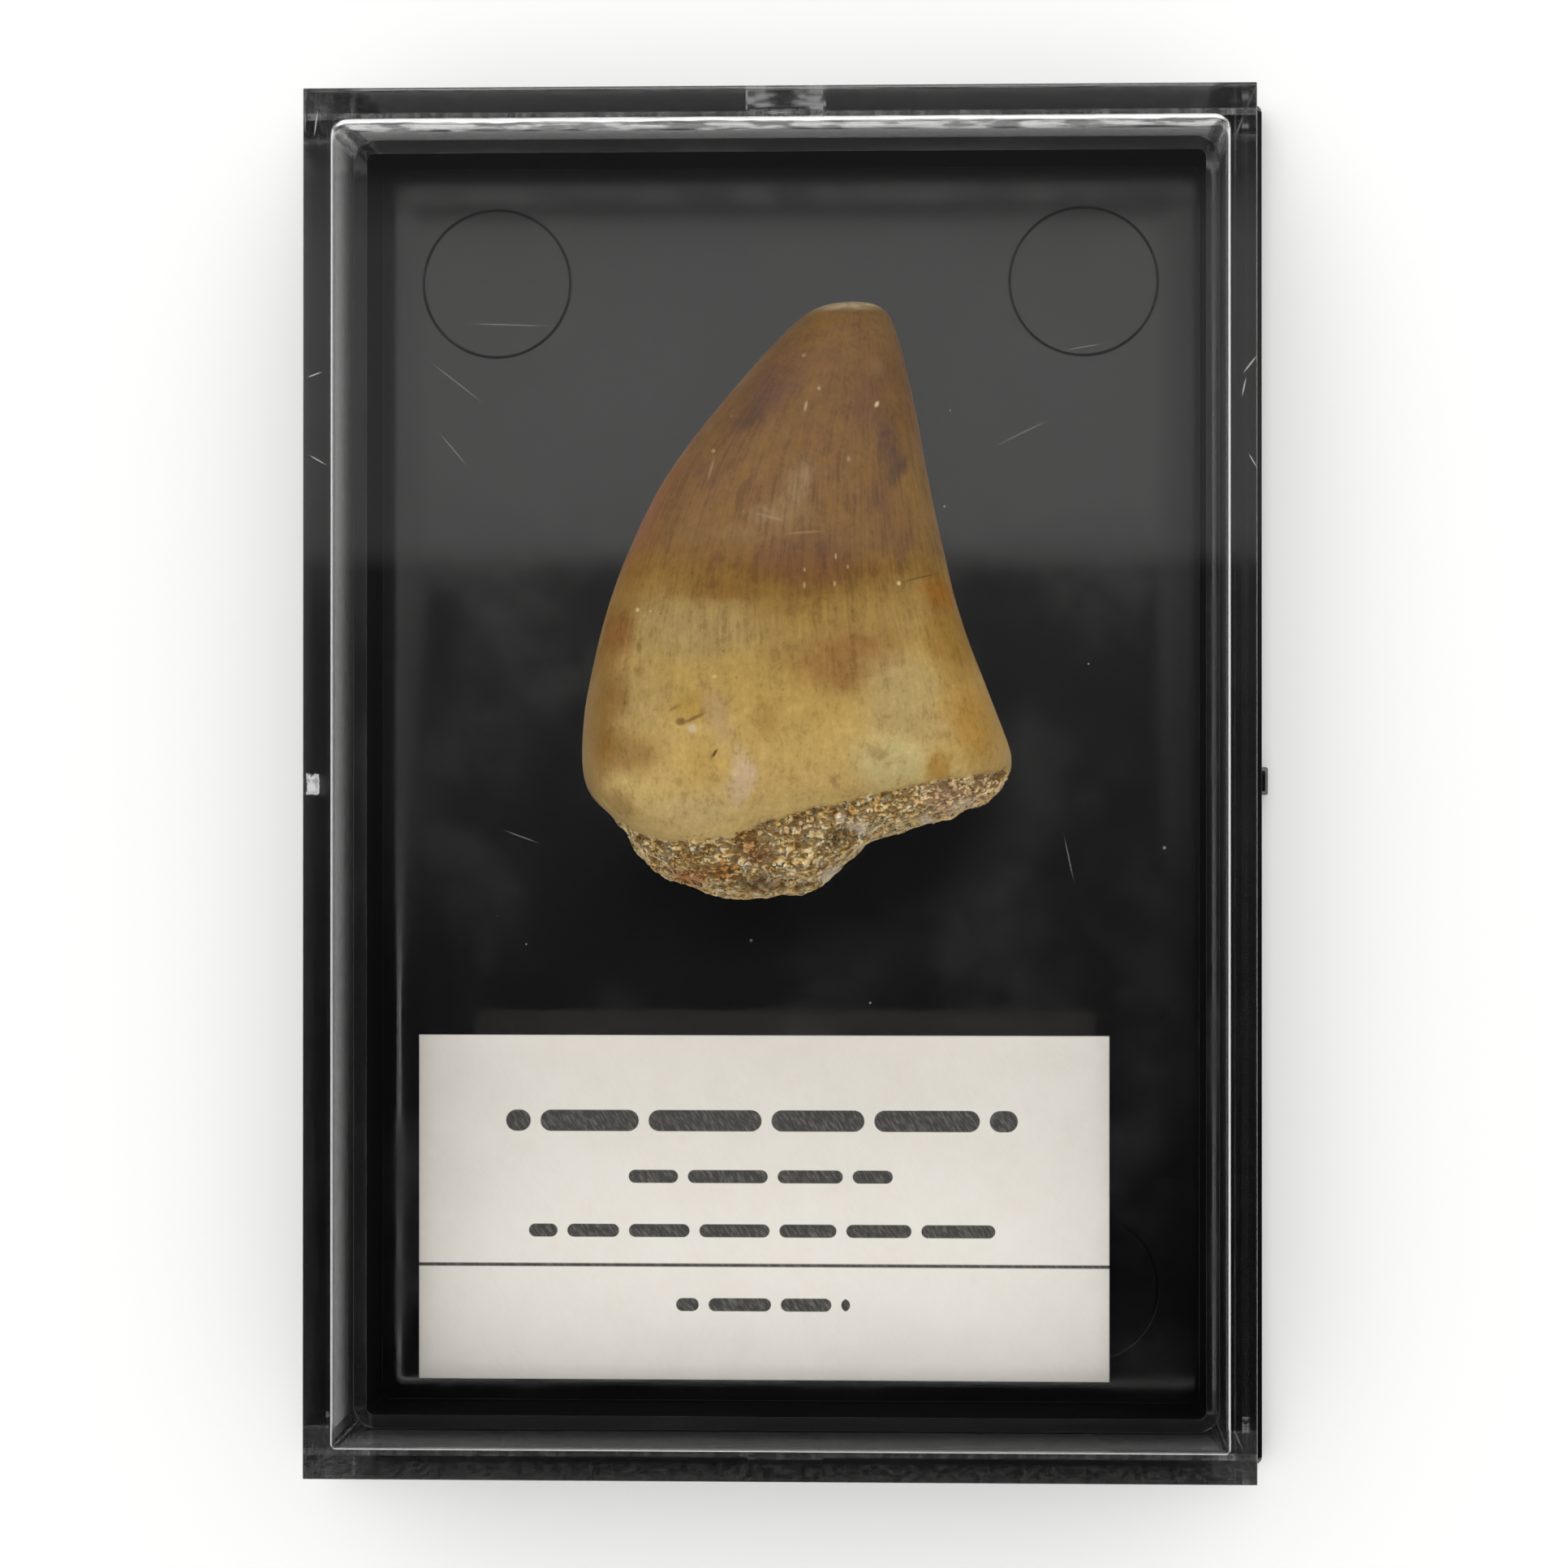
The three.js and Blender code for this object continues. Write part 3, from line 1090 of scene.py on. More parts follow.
@dataclass(frozen=True)
class PrintedLine:
    """One line of plain bars that stands where a label has lettering, in millimetres."""

    y: float
    left: float
    right: float
    height: float
    word: float
    unevenness: float = 0.75

    def bars(self, g: Graph, x: Socket, y: Socket, gap: float, blur: float) -> Socket:
        """Return 1 on the bars and 0 off them.

        Args:
            g: The graph to build in.
            x: The place across the card.
            y: The place along the card.
            gap: Half the gap between two bars.
            blur: Half the width of a bar's soft edge.

        Returns:
            The mask.
        """
        radius, word = self.height * MM / 2, self.word * MM
        inputs = {"W": g.math("DIVIDE", x, word), "Scale": 1.0, "Randomness": self.unevenness}
        words = g.node(
            "TexVoronoi", inputs, voronoi_dimensions="1D", feature="DISTANCE_TO_EDGE",
        ).outputs["Distance"]
        into_word = g.math("SUBTRACT", g.product(words, word), gap)
        aside = g.distance(x, (self.left + self.right) * MM / 2)
        into_line = g.math("SUBTRACT", (self.right - self.left) * MM / 2, aside)
        into_bar = g.math("MINIMUM", into_word, into_line)
        short = g.most(g.math("SUBTRACT", radius, into_bar), 0.0)
        off = g.distance(y, self.y * MM)
        reach = g.math("SQRT", g.total(g.product(off, off), g.product(short, short)))
        return g.fade(reach, radius + blur, radius - blur)


@dataclass(frozen=True)
class PrintedCard:
    """Uncoated card with plain dark bars in place of lettering, a ruled line, and painted shade
    that darkens it toward the top.
    """

    paper: Triple = srgb(252, 246, 237)
    fibre: Triple = srgb(236, 229, 218)
    ink: Triple = srgb(46, 44, 42)
    roughness: float = 0.88
    mottle: Grain = Grain(3.5, 5.0, 0.7)
    fibres: Grain = Grain((0.12, 0.5, 0.2), 3.0, turn=35.0)
    fibre_share: float = 0.5
    fibre_depth: float = 0.006 * MM
    uneven_span: Span = (0.45, 1.15)
    uneven_levels: Span = (0.0, 0.5)
    # painted shade: the paper is darker toward the top than at its near edge
    painted_shading: Triple = (0.89, 0.89, 0.885)
    painted_shading_y: Span = (-33.0 * MM, -18.0 * MM)
    ink_span: Span = (0.2, 0.6)
    ink_levels: Span = (0.84, 0.97)
    ink_blur: float = 0.03 * MM
    word_gap: float = 0.3 * MM
    ruled_y: float = -29.3 * MM
    ruled_width: float = 0.16 * MM
    lines: tuple[PrintedLine, ...] = (
        PrintedLine(-20.5, -17.3, 13.9, 1.3, 6.3), PrintedLine(-23.9, -9.8, 6.3, 0.8, 4.6),
        PrintedLine(-27.2, -15.9, 12.6, 0.8, 4.1), PrintedLine(-31.7, -6.9, 3.7, 0.8, 3.7),
    )

    def make(self) -> bpy.types.Material:
        """Make the finish.

        Returns:
            The material.
        """
        material, g = Graph.for_material("printed_card")
        place = g.place()
        x, y, _ = g.axes(place)
        fibres = self.fibres.plain(g, place)
        uneven = g.total(self.mottle.plain(g, place), g.product(fibres, self.fibre_share))
        uneven = g.fade(uneven, *self.uneven_span, *self.uneven_levels)
        colour = g.mix(uneven, self.paper, self.fibre)
        # painted shade: the paper darkens toward the top
        shaded_paper = g.mix(1.0, colour, self.painted_shading, "MULTIPLY")
        colour = g.mix(g.fade(y, *self.painted_shading_y), colour, shaded_paper)
        ruled = g.fade(g.distance(y, self.ruled_y), self.ruled_width, 0.3 * self.ruled_width)
        bars = (line.bars(g, x, y, self.word_gap, self.ink_blur) for line in self.lines)
        inked = g.product(g.most(ruled, *bars), g.fade(fibres, *self.ink_span, *self.ink_levels))
        g.surface({
            "Base Color": g.mix(inked, colour, self.ink), "Roughness": self.roughness,
            "Normal": g.bump(fibres, self.fibre_depth),
        })
        return material


SOFT_EDGE = 1.15  # where a stain ends, in its own reaches


@dataclass(frozen=True)
class Stain:
    """A patch of colour on the fossil, as it lies seen from above, in millimetres and degrees."""

    name: str
    x: float
    y: float
    reach_x: float
    reach_y: float
    colour: Triple
    strength: float
    turn: float = 0.0
    full: float = 0.3

    def lay(self, g: Graph, place: Socket, below: Socket, keeps: float = 0.0) -> Socket:
        """Lay the patch over a colour.

        Args:
            g: The graph to build in.
            place: The place on the object.
            below: The colour below.
            keeps: How much of the light and dark of the colour below shows in the patch.

        Returns:
            The colour with the patch on it.
        """
        reach = (SOFT_EDGE * self.reach_x * MM, SOFT_EDGE * self.reach_y * MM, ANY_HEIGHT)
        near = g.nearness(place, (self.x * MM, self.y * MM, 0.0), reach, self.turn)
        share = g.fade(near, 0.0, 1.0 - self.full / SOFT_EDGE, 0.0, self.strength)
        colour = self.colour
        if keeps:
            glowing = tuple(1.5 * channel for channel in self.colour)
            colour = g.mix(1.0 - keeps, g.mix(1.0, below, glowing, "MULTIPLY"), self.colour)
        laid = g.mix(share, below, colour)
        laid.node.label = self.name
        return laid


CLOUDY_STAINS = (
    Stain("pale saddle on the left", -5.4, 8.9, 5.4, 2.5, srgb(162, 137, 84), 0.75),
    Stain("pale left of the saddle", -8.2, 5.0, 2.6, 3.0, srgb(166, 138, 84), 0.6),
    Stain("reddish dark of the band", 1.8, 12.9, 3.4, 2.0, srgb(108, 70, 36), 0.75),
    Stain("golden end of the band", -8.2, 12.9, 2.2, 1.5, srgb(132, 94, 34), 0.6),
    Stain("golden lower edge of the band", -3.6, 11.3, 2.8, 0.8, srgb(128, 88, 30), 0.65, -6.0),
    Stain("brown streaks right of the middle", 4.0, 7.2, 4.2, 2.5, srgb(140, 98, 46), 0.8, 12.0),
    Stain("pale cream on the right", 7.2, 4.9, 3.0, 3.4, srgb(178, 154, 100), 0.85, 20.0),
    Stain("greenish cream by the margin", 6.4, 1.3, 2.6, 2.2, srgb(200, 182, 124), 0.85),
    Stain("amber down the right edge", 9.9, 9.0, 1.9, 4.2, srgb(152, 112, 44), 0.8, 14.0),
    Stain("amber of the right corner", 11.5, 3.6, 2.4, 3.6, srgb(172, 128, 52), 0.85, 14.0),
    Stain("orange by the margin", 9.2, 0.9, 1.1, 1.3, srgb(176, 128, 44), 0.7),
    Stain("golden right edge higher up", 8.2, 16.6, 1.2, 4.6, srgb(142, 106, 46), 0.6, 14.0),
    Stain("orange spot at the right", 9.2, 11.2, 1.2, 1.1, srgb(156, 100, 30), 0.75),
    Stain("reddish left flank", -9.9, 8.9, 1.5, 2.3, srgb(134, 84, 38), 0.8, -14.0),
    Stain("brown on the left", -9.6, 5.6, 1.1, 1.7, srgb(140, 104, 52), 0.6, -10.0),
    Stain("amber on the left", -9.0, 1.6, 2.5, 1.7, srgb(146, 108, 50), 0.75),
    Stain("orange at the left edge", -10.4, 2.2, 0.8, 0.8, srgb(164, 112, 40), 0.6),
    Stain("ochre patch", -5.2, 4.5, 1.3, 1.3, srgb(162, 126, 46), 0.6),
    Stain("yellow belly", -4.6, 1.2, 2.2, 1.8, srgb(188, 152, 78), 0.6),
    Stain("pinkish streak", -3.6, 4.0, 1.2, 2.4, srgb(176, 146, 104), 0.6, 20.0),
    Stain("white streak", -2.3, 0.4, 1.0, 2.2, srgb(204, 176, 138), 0.85, -4.0),
    Stain("ochre in the middle", -0.7, 3.7, 0.8, 1.3, srgb(158, 122, 54), 0.5),
    Stain("dim foot of the crown at left", -9.6, -1.2, 2.0, 0.9, srgb(156, 124, 70), 0.6, -32.0),
    Stain("bright foot of the crown", -5.0, -1.6, 3.0, 1.3, srgb(202, 174, 118), 0.7),
    Stain("amber below the left edge", -10.4, 4.2, 1.5, 3.4, srgb(140, 104, 46), 0.7),
    Stain("tan along the left edge", -11.6, 3.4, 2.0, 6.6, srgb(136, 98, 42), 0.75, -6.0, 0.5),
    Stain("golden above it", -8.9, 11.4, 1.8, 2.2, srgb(140, 106, 48), 0.6, -16.0),
    # painted sheen: these five stains stand in for the soft highlight on the middle of the crown
    Stain("painted sheen below the middle", 0.2, 15.6, 2.8, 1.2, srgb(132, 102, 60), 0.42, 4.0),
    Stain("painted sheen in the middle", 0.8, 17.3, 1.3, 2.2, srgb(136, 109, 70), 0.45, -12.0),
    Stain("paler heart of the painted sheen", 1.1, 17.8, 0.8, 1.7, srgb(148, 123, 86), 0.28, -6.0),
    Stain("smudged foot of the painted sheen", -0.8, 15.7, 1.5, 0.5, srgb(148, 122, 84), 0.32, -14.0),
    Stain("painted sheen on the left", -1.9, 14.5, 1.8, 0.6, srgb(134, 104, 58), 0.42),
    Stain("dark smear on the right", 6.2, 19.8, 0.9, 2.2, srgb(84, 58, 40), 0.55, 8.0),
    Stain("dark smear below it", 6.6, 18.2, 0.5, 1.0, srgb(84, 58, 36), 0.6),
    Stain("dark smear on the left", -1.6, 22.0, 2.2, 1.1, srgb(78, 50, 34), 0.7, 50.0),
    # painted sheen near the tip
    Stain("painted sheen near the tip", 6.0, 27.0, 1.4, 1.6, srgb(128, 95, 54), 0.45),
    Stain("pinkish left of the tip", -0.6, 23.6, 2.4, 1.8, srgb(98, 64, 42), 0.6, 45.0),
)
SMALL_STAINS = (
    Stain("brown mark", -5.8, 3.6, 0.42, 0.3, srgb(112, 78, 22), 0.8),
    Stain("tail of the brown mark", -5.0, 3.8, 0.8, 0.14, srgb(104, 72, 30), 0.7, 24.0),
    Stain("white ring by the mark", -5.1, 3.2, 0.36, 0.36, srgb(212, 196, 156), 0.7),
    Stain("dark tick", -3.8, 1.75, 0.1, 0.4, srgb(62, 46, 24), 0.9, -35.0),
    Stain("brown spot", 5.5, 1.8, 0.8, 0.5, srgb(150, 114, 64), 0.4, -20.0),
    Stain("brown tick", 3.1, 0.1, 0.25, 0.5, srgb(144, 108, 58), 0.45, 20.0),
    Stain("brown tick on the left", -5.9, 0.1, 0.3, 0.35, srgb(144, 110, 54), 0.45),
    Stain("dark dot by the saddle", -8.4, 8.0, 0.2, 0.35, srgb(118, 86, 42), 0.45),
    Stain("brown dots on the left", -8.3, 6.6, 0.4, 0.4, srgb(128, 94, 40), 0.4),
    Stain("pale speck at the right", 6.84, 11.7, 0.15, 0.16, srgb(214, 192, 142), 0.9),
    Stain("crack from it", 8.1, 12.1, 1.3, 0.06, srgb(84, 56, 26), 0.7, 16.0),
    Stain("pale speck high up", 5.5, 22.4, 0.14, 0.26, srgb(206, 186, 148), 0.95, -25.0),
    Stain("pale fleck high up", 1.35, 22.2, 0.12, 0.4, srgb(170, 146, 108), 0.8, -10.0),
    Stain("pale dot near it", 2.1, 23.3, 0.12, 0.14, srgb(176, 150, 110), 0.8),
    Stain("pale dot by the tip", 1.15, 25.4, 0.16, 0.14, srgb(150, 122, 92), 0.8),
    Stain("pale patch by the tip", 5.5, 24.8, 0.5, 0.8, srgb(130, 100, 64), 0.45),
    Stain("pale dot on the left", -4.1, 19.6, 0.16, 0.16, srgb(168, 140, 92), 0.8),
    Stain("pale scratch on the left", -4.2, 18.5, 0.12, 0.8, srgb(150, 122, 80), 0.75, -14.0),
    Stain("pale dot in the middle", 3.9, 19.0, 0.14, 0.22, srgb(160, 132, 96), 0.75),
    Stain("pale dots on the left edge", -8.5, 10.2, 0.16, 0.16, srgb(214, 190, 132), 0.9),
    Stain("pale dot beside them", -7.7, 10.1, 0.1, 0.1, srgb(196, 170, 116), 0.8),
    Stain("pale dot on the saddle", -3.8, 6.2, 0.2, 0.14, srgb(206, 184, 134), 0.7),
    Stain("pale dot low in the band", 1.4, 11.5, 0.1, 0.24, srgb(190, 166, 120), 0.6),
    Stain("pale dot above it", 1.4, 12.4, 0.08, 0.16, srgb(186, 158, 112), 0.7),
    Stain("pale dots right of them", 3.15, 11.6, 0.1, 0.2, srgb(190, 166, 120), 0.6),
    Stain("pale dot over those", 3.2, 13.2, 0.09, 0.22, srgb(190, 162, 116), 0.65),
    Stain("pale dot at the band's middle", 3.9, 12.6, 0.08, 0.14, srgb(184, 156, 110), 0.6),
    Stain("pale scrape over the band", 1.4, 14.6, 1.3, 0.1, srgb(160, 134, 96), 0.35, 4.0),
    Stain("second pale scrape", -0.6, 15.5, 1.0, 0.12, srgb(162, 138, 102), 0.4, -16.0),
    Stain("dark tick under the tip", -0.9, 24.1, 0.12, 0.5, srgb(76, 50, 30), 0.5, -30.0),
    Stain("dark fleck on the right", 6.0, 20.6, 0.5, 0.3, srgb(70, 46, 34), 0.6, 30.0),
    Stain("dark fleck below it", 6.5, 19.6, 0.22, 0.5, srgb(72, 48, 34), 0.6, 12.0),
    Stain("dark fleck at the edge", 7.0, 18.6, 0.3, 0.6, srgb(78, 52, 34), 0.55, 10.0),
    Stain("ochre tick on the left", -6.2, 4.4, 0.5, 0.14, srgb(128, 92, 30), 0.6, 30.0),
)
BONE_STAINS = (
    Stain("orange lump", -3.5, -5.1, 1.1, 0.8, srgb(188, 132, 52), 0.75),
    Stain("orange edge", -5.6, -5.6, 1.5, 0.8, srgb(186, 118, 58), 0.7),
    Stain("rusty middle", -1.4, -4.1, 1.3, 1.0, srgb(150, 88, 44), 0.55),
    Stain("ochre at the margin", -2.3, -2.9, 1.0, 0.7, srgb(160, 112, 42), 0.65, 20.0),
    Stain("ochre at the right", 9.6, -0.4, 1.2, 0.5, srgb(158, 110, 44), 0.6),
    Stain("rusty right", 9.6, -1.4, 0.8, 0.6, srgb(160, 100, 56), 0.5),
    Stain("white bit in the hollow", 4.4, -2.6, 0.8, 0.36, srgb(226, 214, 192), 0.85, -15.0),
    Stain("white corner", 2.7, -5.5, 1.2, 0.5, srgb(220, 204, 174), 0.8, 25.0),
    Stain("white bit on the right", 8.6, -2.3, 0.5, 0.9, srgb(218, 200, 166), 0.7),
    Stain("pale right end", 10.2, -0.7, 3.6, 1.4, srgb(240, 218, 178), 0.95, 14.0),
    Stain("white lump of the lower edge", 3.0, -5.2, 0.9, 0.7, srgb(230, 218, 196), 0.7),
    Stain("white lump above it", 4.5, -2.4, 0.9, 0.5, srgb(228, 216, 192), 0.6),
    Stain("white bits in the middle", 1.1, -2.6, 1.6, 0.7, srgb(216, 196, 158), 0.45),
    # painted shade: the next two stand in for the shadow under the lower shelf and in a hollow of
    # the bone
    Stain("painted shade under the lower shelf", -1.3, -5.9, 1.9, 0.6, srgb(122, 102, 80), 0.7),
    Stain("painted shade in the hollow", 3.2, -3.1, 0.8, 0.7, srgb(92, 74, 46), 0.6, 40.0),
)
WHITE_BONE = (
    Stain("white corner", 2.7, -5.4, 0.9, 0.42, srgb(244, 230, 204), 0.55, 25.0),
    Stain("white bit in the hollow", 4.5, -2.6, 0.75, 0.34, srgb(246, 234, 210), 0.5, -15.0),
    Stain("white bit beside it", 3.5, -2.1, 0.4, 0.25, srgb(246, 234, 208), 0.5, 30.0, 0.5),
    Stain("white edge on the right", 8.4, -2.2, 0.4, 0.5, srgb(248, 236, 212), 0.55, 0.0, 0.5),
    Stain("white crumbs at the right end", 10.6, -1.2, 0.9, 0.3, srgb(248, 234, 204), 0.5, 14.0),
)


@dataclass(frozen=True)
class CrownPlace:
    """A place on the crown, and the noises there that several of its layers share.

    Frayed is the place moved about, upper is 1 above the dark band, and blotch and cloud are soft
    noises. Lined is the height of the growth lines and patchy is how strongly they show.
    """

    at: Socket
    frayed: Socket
    upper: Socket
    blotch: Socket
    cloud: Socket
    lined: Socket
    patchy: Socket


@dataclass(frozen=True)
class Enamel:
    """Satin enamel, brown at the tip to cream at the root, with growth lines along the crown."""

    heights: tuple[tuple[float, Triple], ...] = (
        (-3.5, srgb(204, 174, 110)), (0.5, srgb(198, 165, 98)), (4.8, srgb(182, 149, 80)),
        (8.0, srgb(162, 131, 69)), (9.4, srgb(152, 120, 58)), (11.0, srgb(131, 97, 37)),
        (12.4, srgb(122, 85, 31)), (18.3, srgb(118, 82, 33)), (23.0, srgb(111, 75, 29)),
        (29.5, srgb(126, 90, 31)),
    )
    sag: float = -34.0
    ridge_x: float = 0.4 * MM
    upper_y: Span = (11.0 * MM, 14.0 * MM)
    fray: Fray = Fray(1.9, 5.0, 0.62, (2.0, 1.6, 2.0))
    blotches: Grain = Grain((2.4, 4.0, 2.4), 5.0, 0.6)
    blotch_tones: tuple[tuple[Triple, Span], ...] = (
        (srgb(104, 68, 42), (0.50, 0.66)), (srgb(124, 90, 36), (0.48, 0.34)),
    )
    blotch_share: float = 0.6

    # The growth lines and the shading.
    lined_low: Span = (5.0 * MM, 9.0 * MM)
    lined_high: Span = (24.0 * MM, 17.0 * MM)
    lined_levels: Span = (0.5, 1.1)
    lined_upper: Span = (0.8, 1.25)
    lined_patches: tuple[float, float, float, float] = (0.35, 0.6, 0.5, 1.0)
    lines: Triple = (20.0, 20.0, 230.0)
    fine_lines: Triple = (52.0, 52.0, 520.0)
    line_share: float = 0.6
    clouds: Grain = Grain(0.9, 7.0, 0.74)
    cloud_weight: float = 0.55
    grain: Grain = Grain((0.24, 0.4, 0.24), 3.0, 0.7)
    grain_weight: float = 0.42
    mottle: Grain = Grain((1.4, 2.0, 1.4), 3.0, 0.6)
    mottle_weight: float = 0.30
    shade_reach: float = 0.14
    darker: Triple = (0.52, 0.43, 0.30)
    darker_share: float = 0.48
    paler: Triple = (1.34, 1.36, 1.42)
    paler_share: float = 0.5

    # The pores and flecks, and the worn edges.
    pores: Specks = Specks(0.75, 0.5, (0.0, 0.14), (0.05, -0.03))
    pore_shift: Triple = (0.37, 0.11, 0.23)
    pore_colour: Triple = srgb(92, 62, 26)
    pore_share: float = 0.28
    pore_depth: float = 0.6
    flecks: Specks = Specks(0.95, 0.7, (0.0, 0.08), (0.03, -0.01))
    fleck_colour: Triple = srgb(204, 180, 134)
    fleck_share: float = 0.65
    flank_orange: Triple = srgb(152, 92, 44)
    flank_y: Span = (9.0 * MM, 16.0 * MM)
    flank_facing: Span = (-0.62, -0.92)
    flank_share: float = 0.7
    edge_cream: Triple = srgb(206, 184, 140)
    edge_patchiness: tuple[float, float, float, float] = (0.4, 0.6, 0.35, 1.0)
    tip_facing: Span = (0.74, 0.94)
    tip_y: Span = (28.1 * MM, 28.8 * MM)
    side_facing: Span = (0.72, 0.95)
    side_y: Span = (8.0 * MM, 5.0 * MM)
    side_share: float = 0.3

    def measure(self, g: Graph, place: Socket) -> CrownPlace:
        """Make what the layers share at a place.

        Args:
            g: The graph to build in.
            place: The place on the object.

        Returns:
            The place and its noises.
        """
        frayed = self.fray.move(g, place)
        _, y, _ = g.axes(frayed)
        blotch = self.blotches.plain(g, place)
        growth = g.attribute("growth", "Vector")
        lines = g.noise(g.vector("MULTIPLY", growth, self.lines), 1.0, 4.0, 0.65)
        fine = g.noise(g.vector("MULTIPLY", growth, self.fine_lines), 1.0, 2.0, 0.5)
        along = g.product(g.fade(y, *self.lined_low), g.fade(y, *self.lined_high))
        patches = g.fade(blotch, *self.lined_patches)
        return CrownPlace(
            place, frayed, g.fade(y, *self.upper_y), blotch, self.clouds.plain(g, place),
            lined=g.total(g.product(lines, self.line_share), g.product(fine, 1 - self.line_share)),
            patchy=g.product(g.between(along, *self.lined_levels), patches),
        )

    def ground(self, g: Graph, spot: CrownPlace) -> Socket:
        """Colour the crown by the height along it, with its blotches and cloudy stains.

        Args:
            g: The graph to build in.
            spot: The place.

        Returns:
            The colour.
        """
        x, y, _ = g.axes(spot.frayed)
        off_ridge = g.math("SUBTRACT", x, self.ridge_x)
        height = g.total(y, g.product(off_ridge, off_ridge, self.sag))
        low, high = self.heights[0][0] * MM, self.heights[-1][0] * MM
        stops = [((at * MM - low) / (high - low), tone) for at, tone in self.heights]
        colour = g.ramp(g.linear(height, low, high), stops)
        for tone, span in self.blotch_tones:
            share = g.product(spot.upper, g.fade(spot.blotch, *span, 0.0, self.blotch_share))
            colour = g.mix(share, colour, tone)
        for stain in CLOUDY_STAINS:
            colour = stain.lay(g, spot.frayed, colour)
        return colour

    def shaded(self, g: Graph, spot: CrownPlace, colour: Socket) -> Socket:
        """Darken and lighten a colour with the growth lines, clouds and grain.

        Args:
            g: The graph to build in.
            spot: The place.
            colour: The colour below.

        Returns:
            The colour, shaded.
        """
        upper = g.between(spot.upper, *self.lined_upper)
        shade = g.total(
            g.product(g.math("SUBTRACT", spot.lined, 0.5), spot.patchy, upper),
            g.swing(spot.cloud, self.cloud_weight),
            g.swing(self.grain.plain(g, spot.at), self.grain_weight),
            g.swing(self.mottle.plain(g, spot.frayed), self.mottle_weight),
        )
        darker = g.mix(1.0, colour, self.darker, "MULTIPLY")
        paler = g.mix(1.0, colour, self.paler, "MULTIPLY")
        dark_share = g.fade(shade, 0.0, self.shade_reach, 0.0, self.darker_share)
        pale_share = g.fade(shade, 0.0, -self.shade_reach, 0.0, self.paler_share)
        return g.mix(pale_share, g.mix(dark_share, colour, darker), paler)

    def edged(self, g: Graph, spot: CrownPlace, facing: Socket, colour: Socket) -> Socket:
        """Redden a colour where the left flank faces -X, and pale it in patches where the tip faces
        +Y and where the lower crown faces sideways.

        Args:
            g: The graph to build in.
            spot: The place.
            facing: The surface's own direction.
            colour: The colour below.

        Returns:
            The colour with its edges.
        """
        east, north, _ = g.axes(facing)
        _, y, _ = g.axes(spot.at)
        flank = g.product(g.fade(east, *self.flank_facing), g.fade(y, *self.flank_y))
        colour = g.mix(g.product(flank, self.flank_share), colour, self.flank_orange)
        tip = g.product(g.fade(north, *self.tip_facing), g.fade(y, *self.tip_y))
        side = g.product(g.fade(g.magnitude(east), *self.side_facing), g.fade(y, *self.side_y))
        patchy_edge = g.fade(spot.cloud, *self.edge_patchiness)
        edge = g.product(g.most(tip, g.product(side, self.side_share)), patchy_edge)
        return g.mix(edge, colour, self.edge_cream)

    def build(self, g: Graph, place: Socket, facing: Socket) -> tuple[Socket, Socket]:
        """Build the enamel's colour and its relief.

        Args:
            g: The graph to build in.
            place: The place on the object.
            facing: The surface's own direction.

        Returns:
            The colour, and the height of the fine relief.
        """
        spot = self.measure(g, place)
        colour = self.shaded(g, spot, self.ground(g, spot))
        for stain in SMALL_STAINS:
            colour = stain.lay(g, place, colour)
        pitted = self.pores.mask(g, g.vector("ADD", place, self.pore_shift))
        colour = g.mix(g.product(pitted, self.pore_share), colour, self.pore_colour)
        flecked = g.product(self.flecks.mask(g, place), self.fleck_share)
        colour = self.edged(g, spot, facing, g.mix(flecked, colour, self.fleck_colour))
        pits = g.product(pitted, self.pore_depth)
        return colour, g.math("SUBTRACT", g.product(spot.lined, spot.patchy), pits)


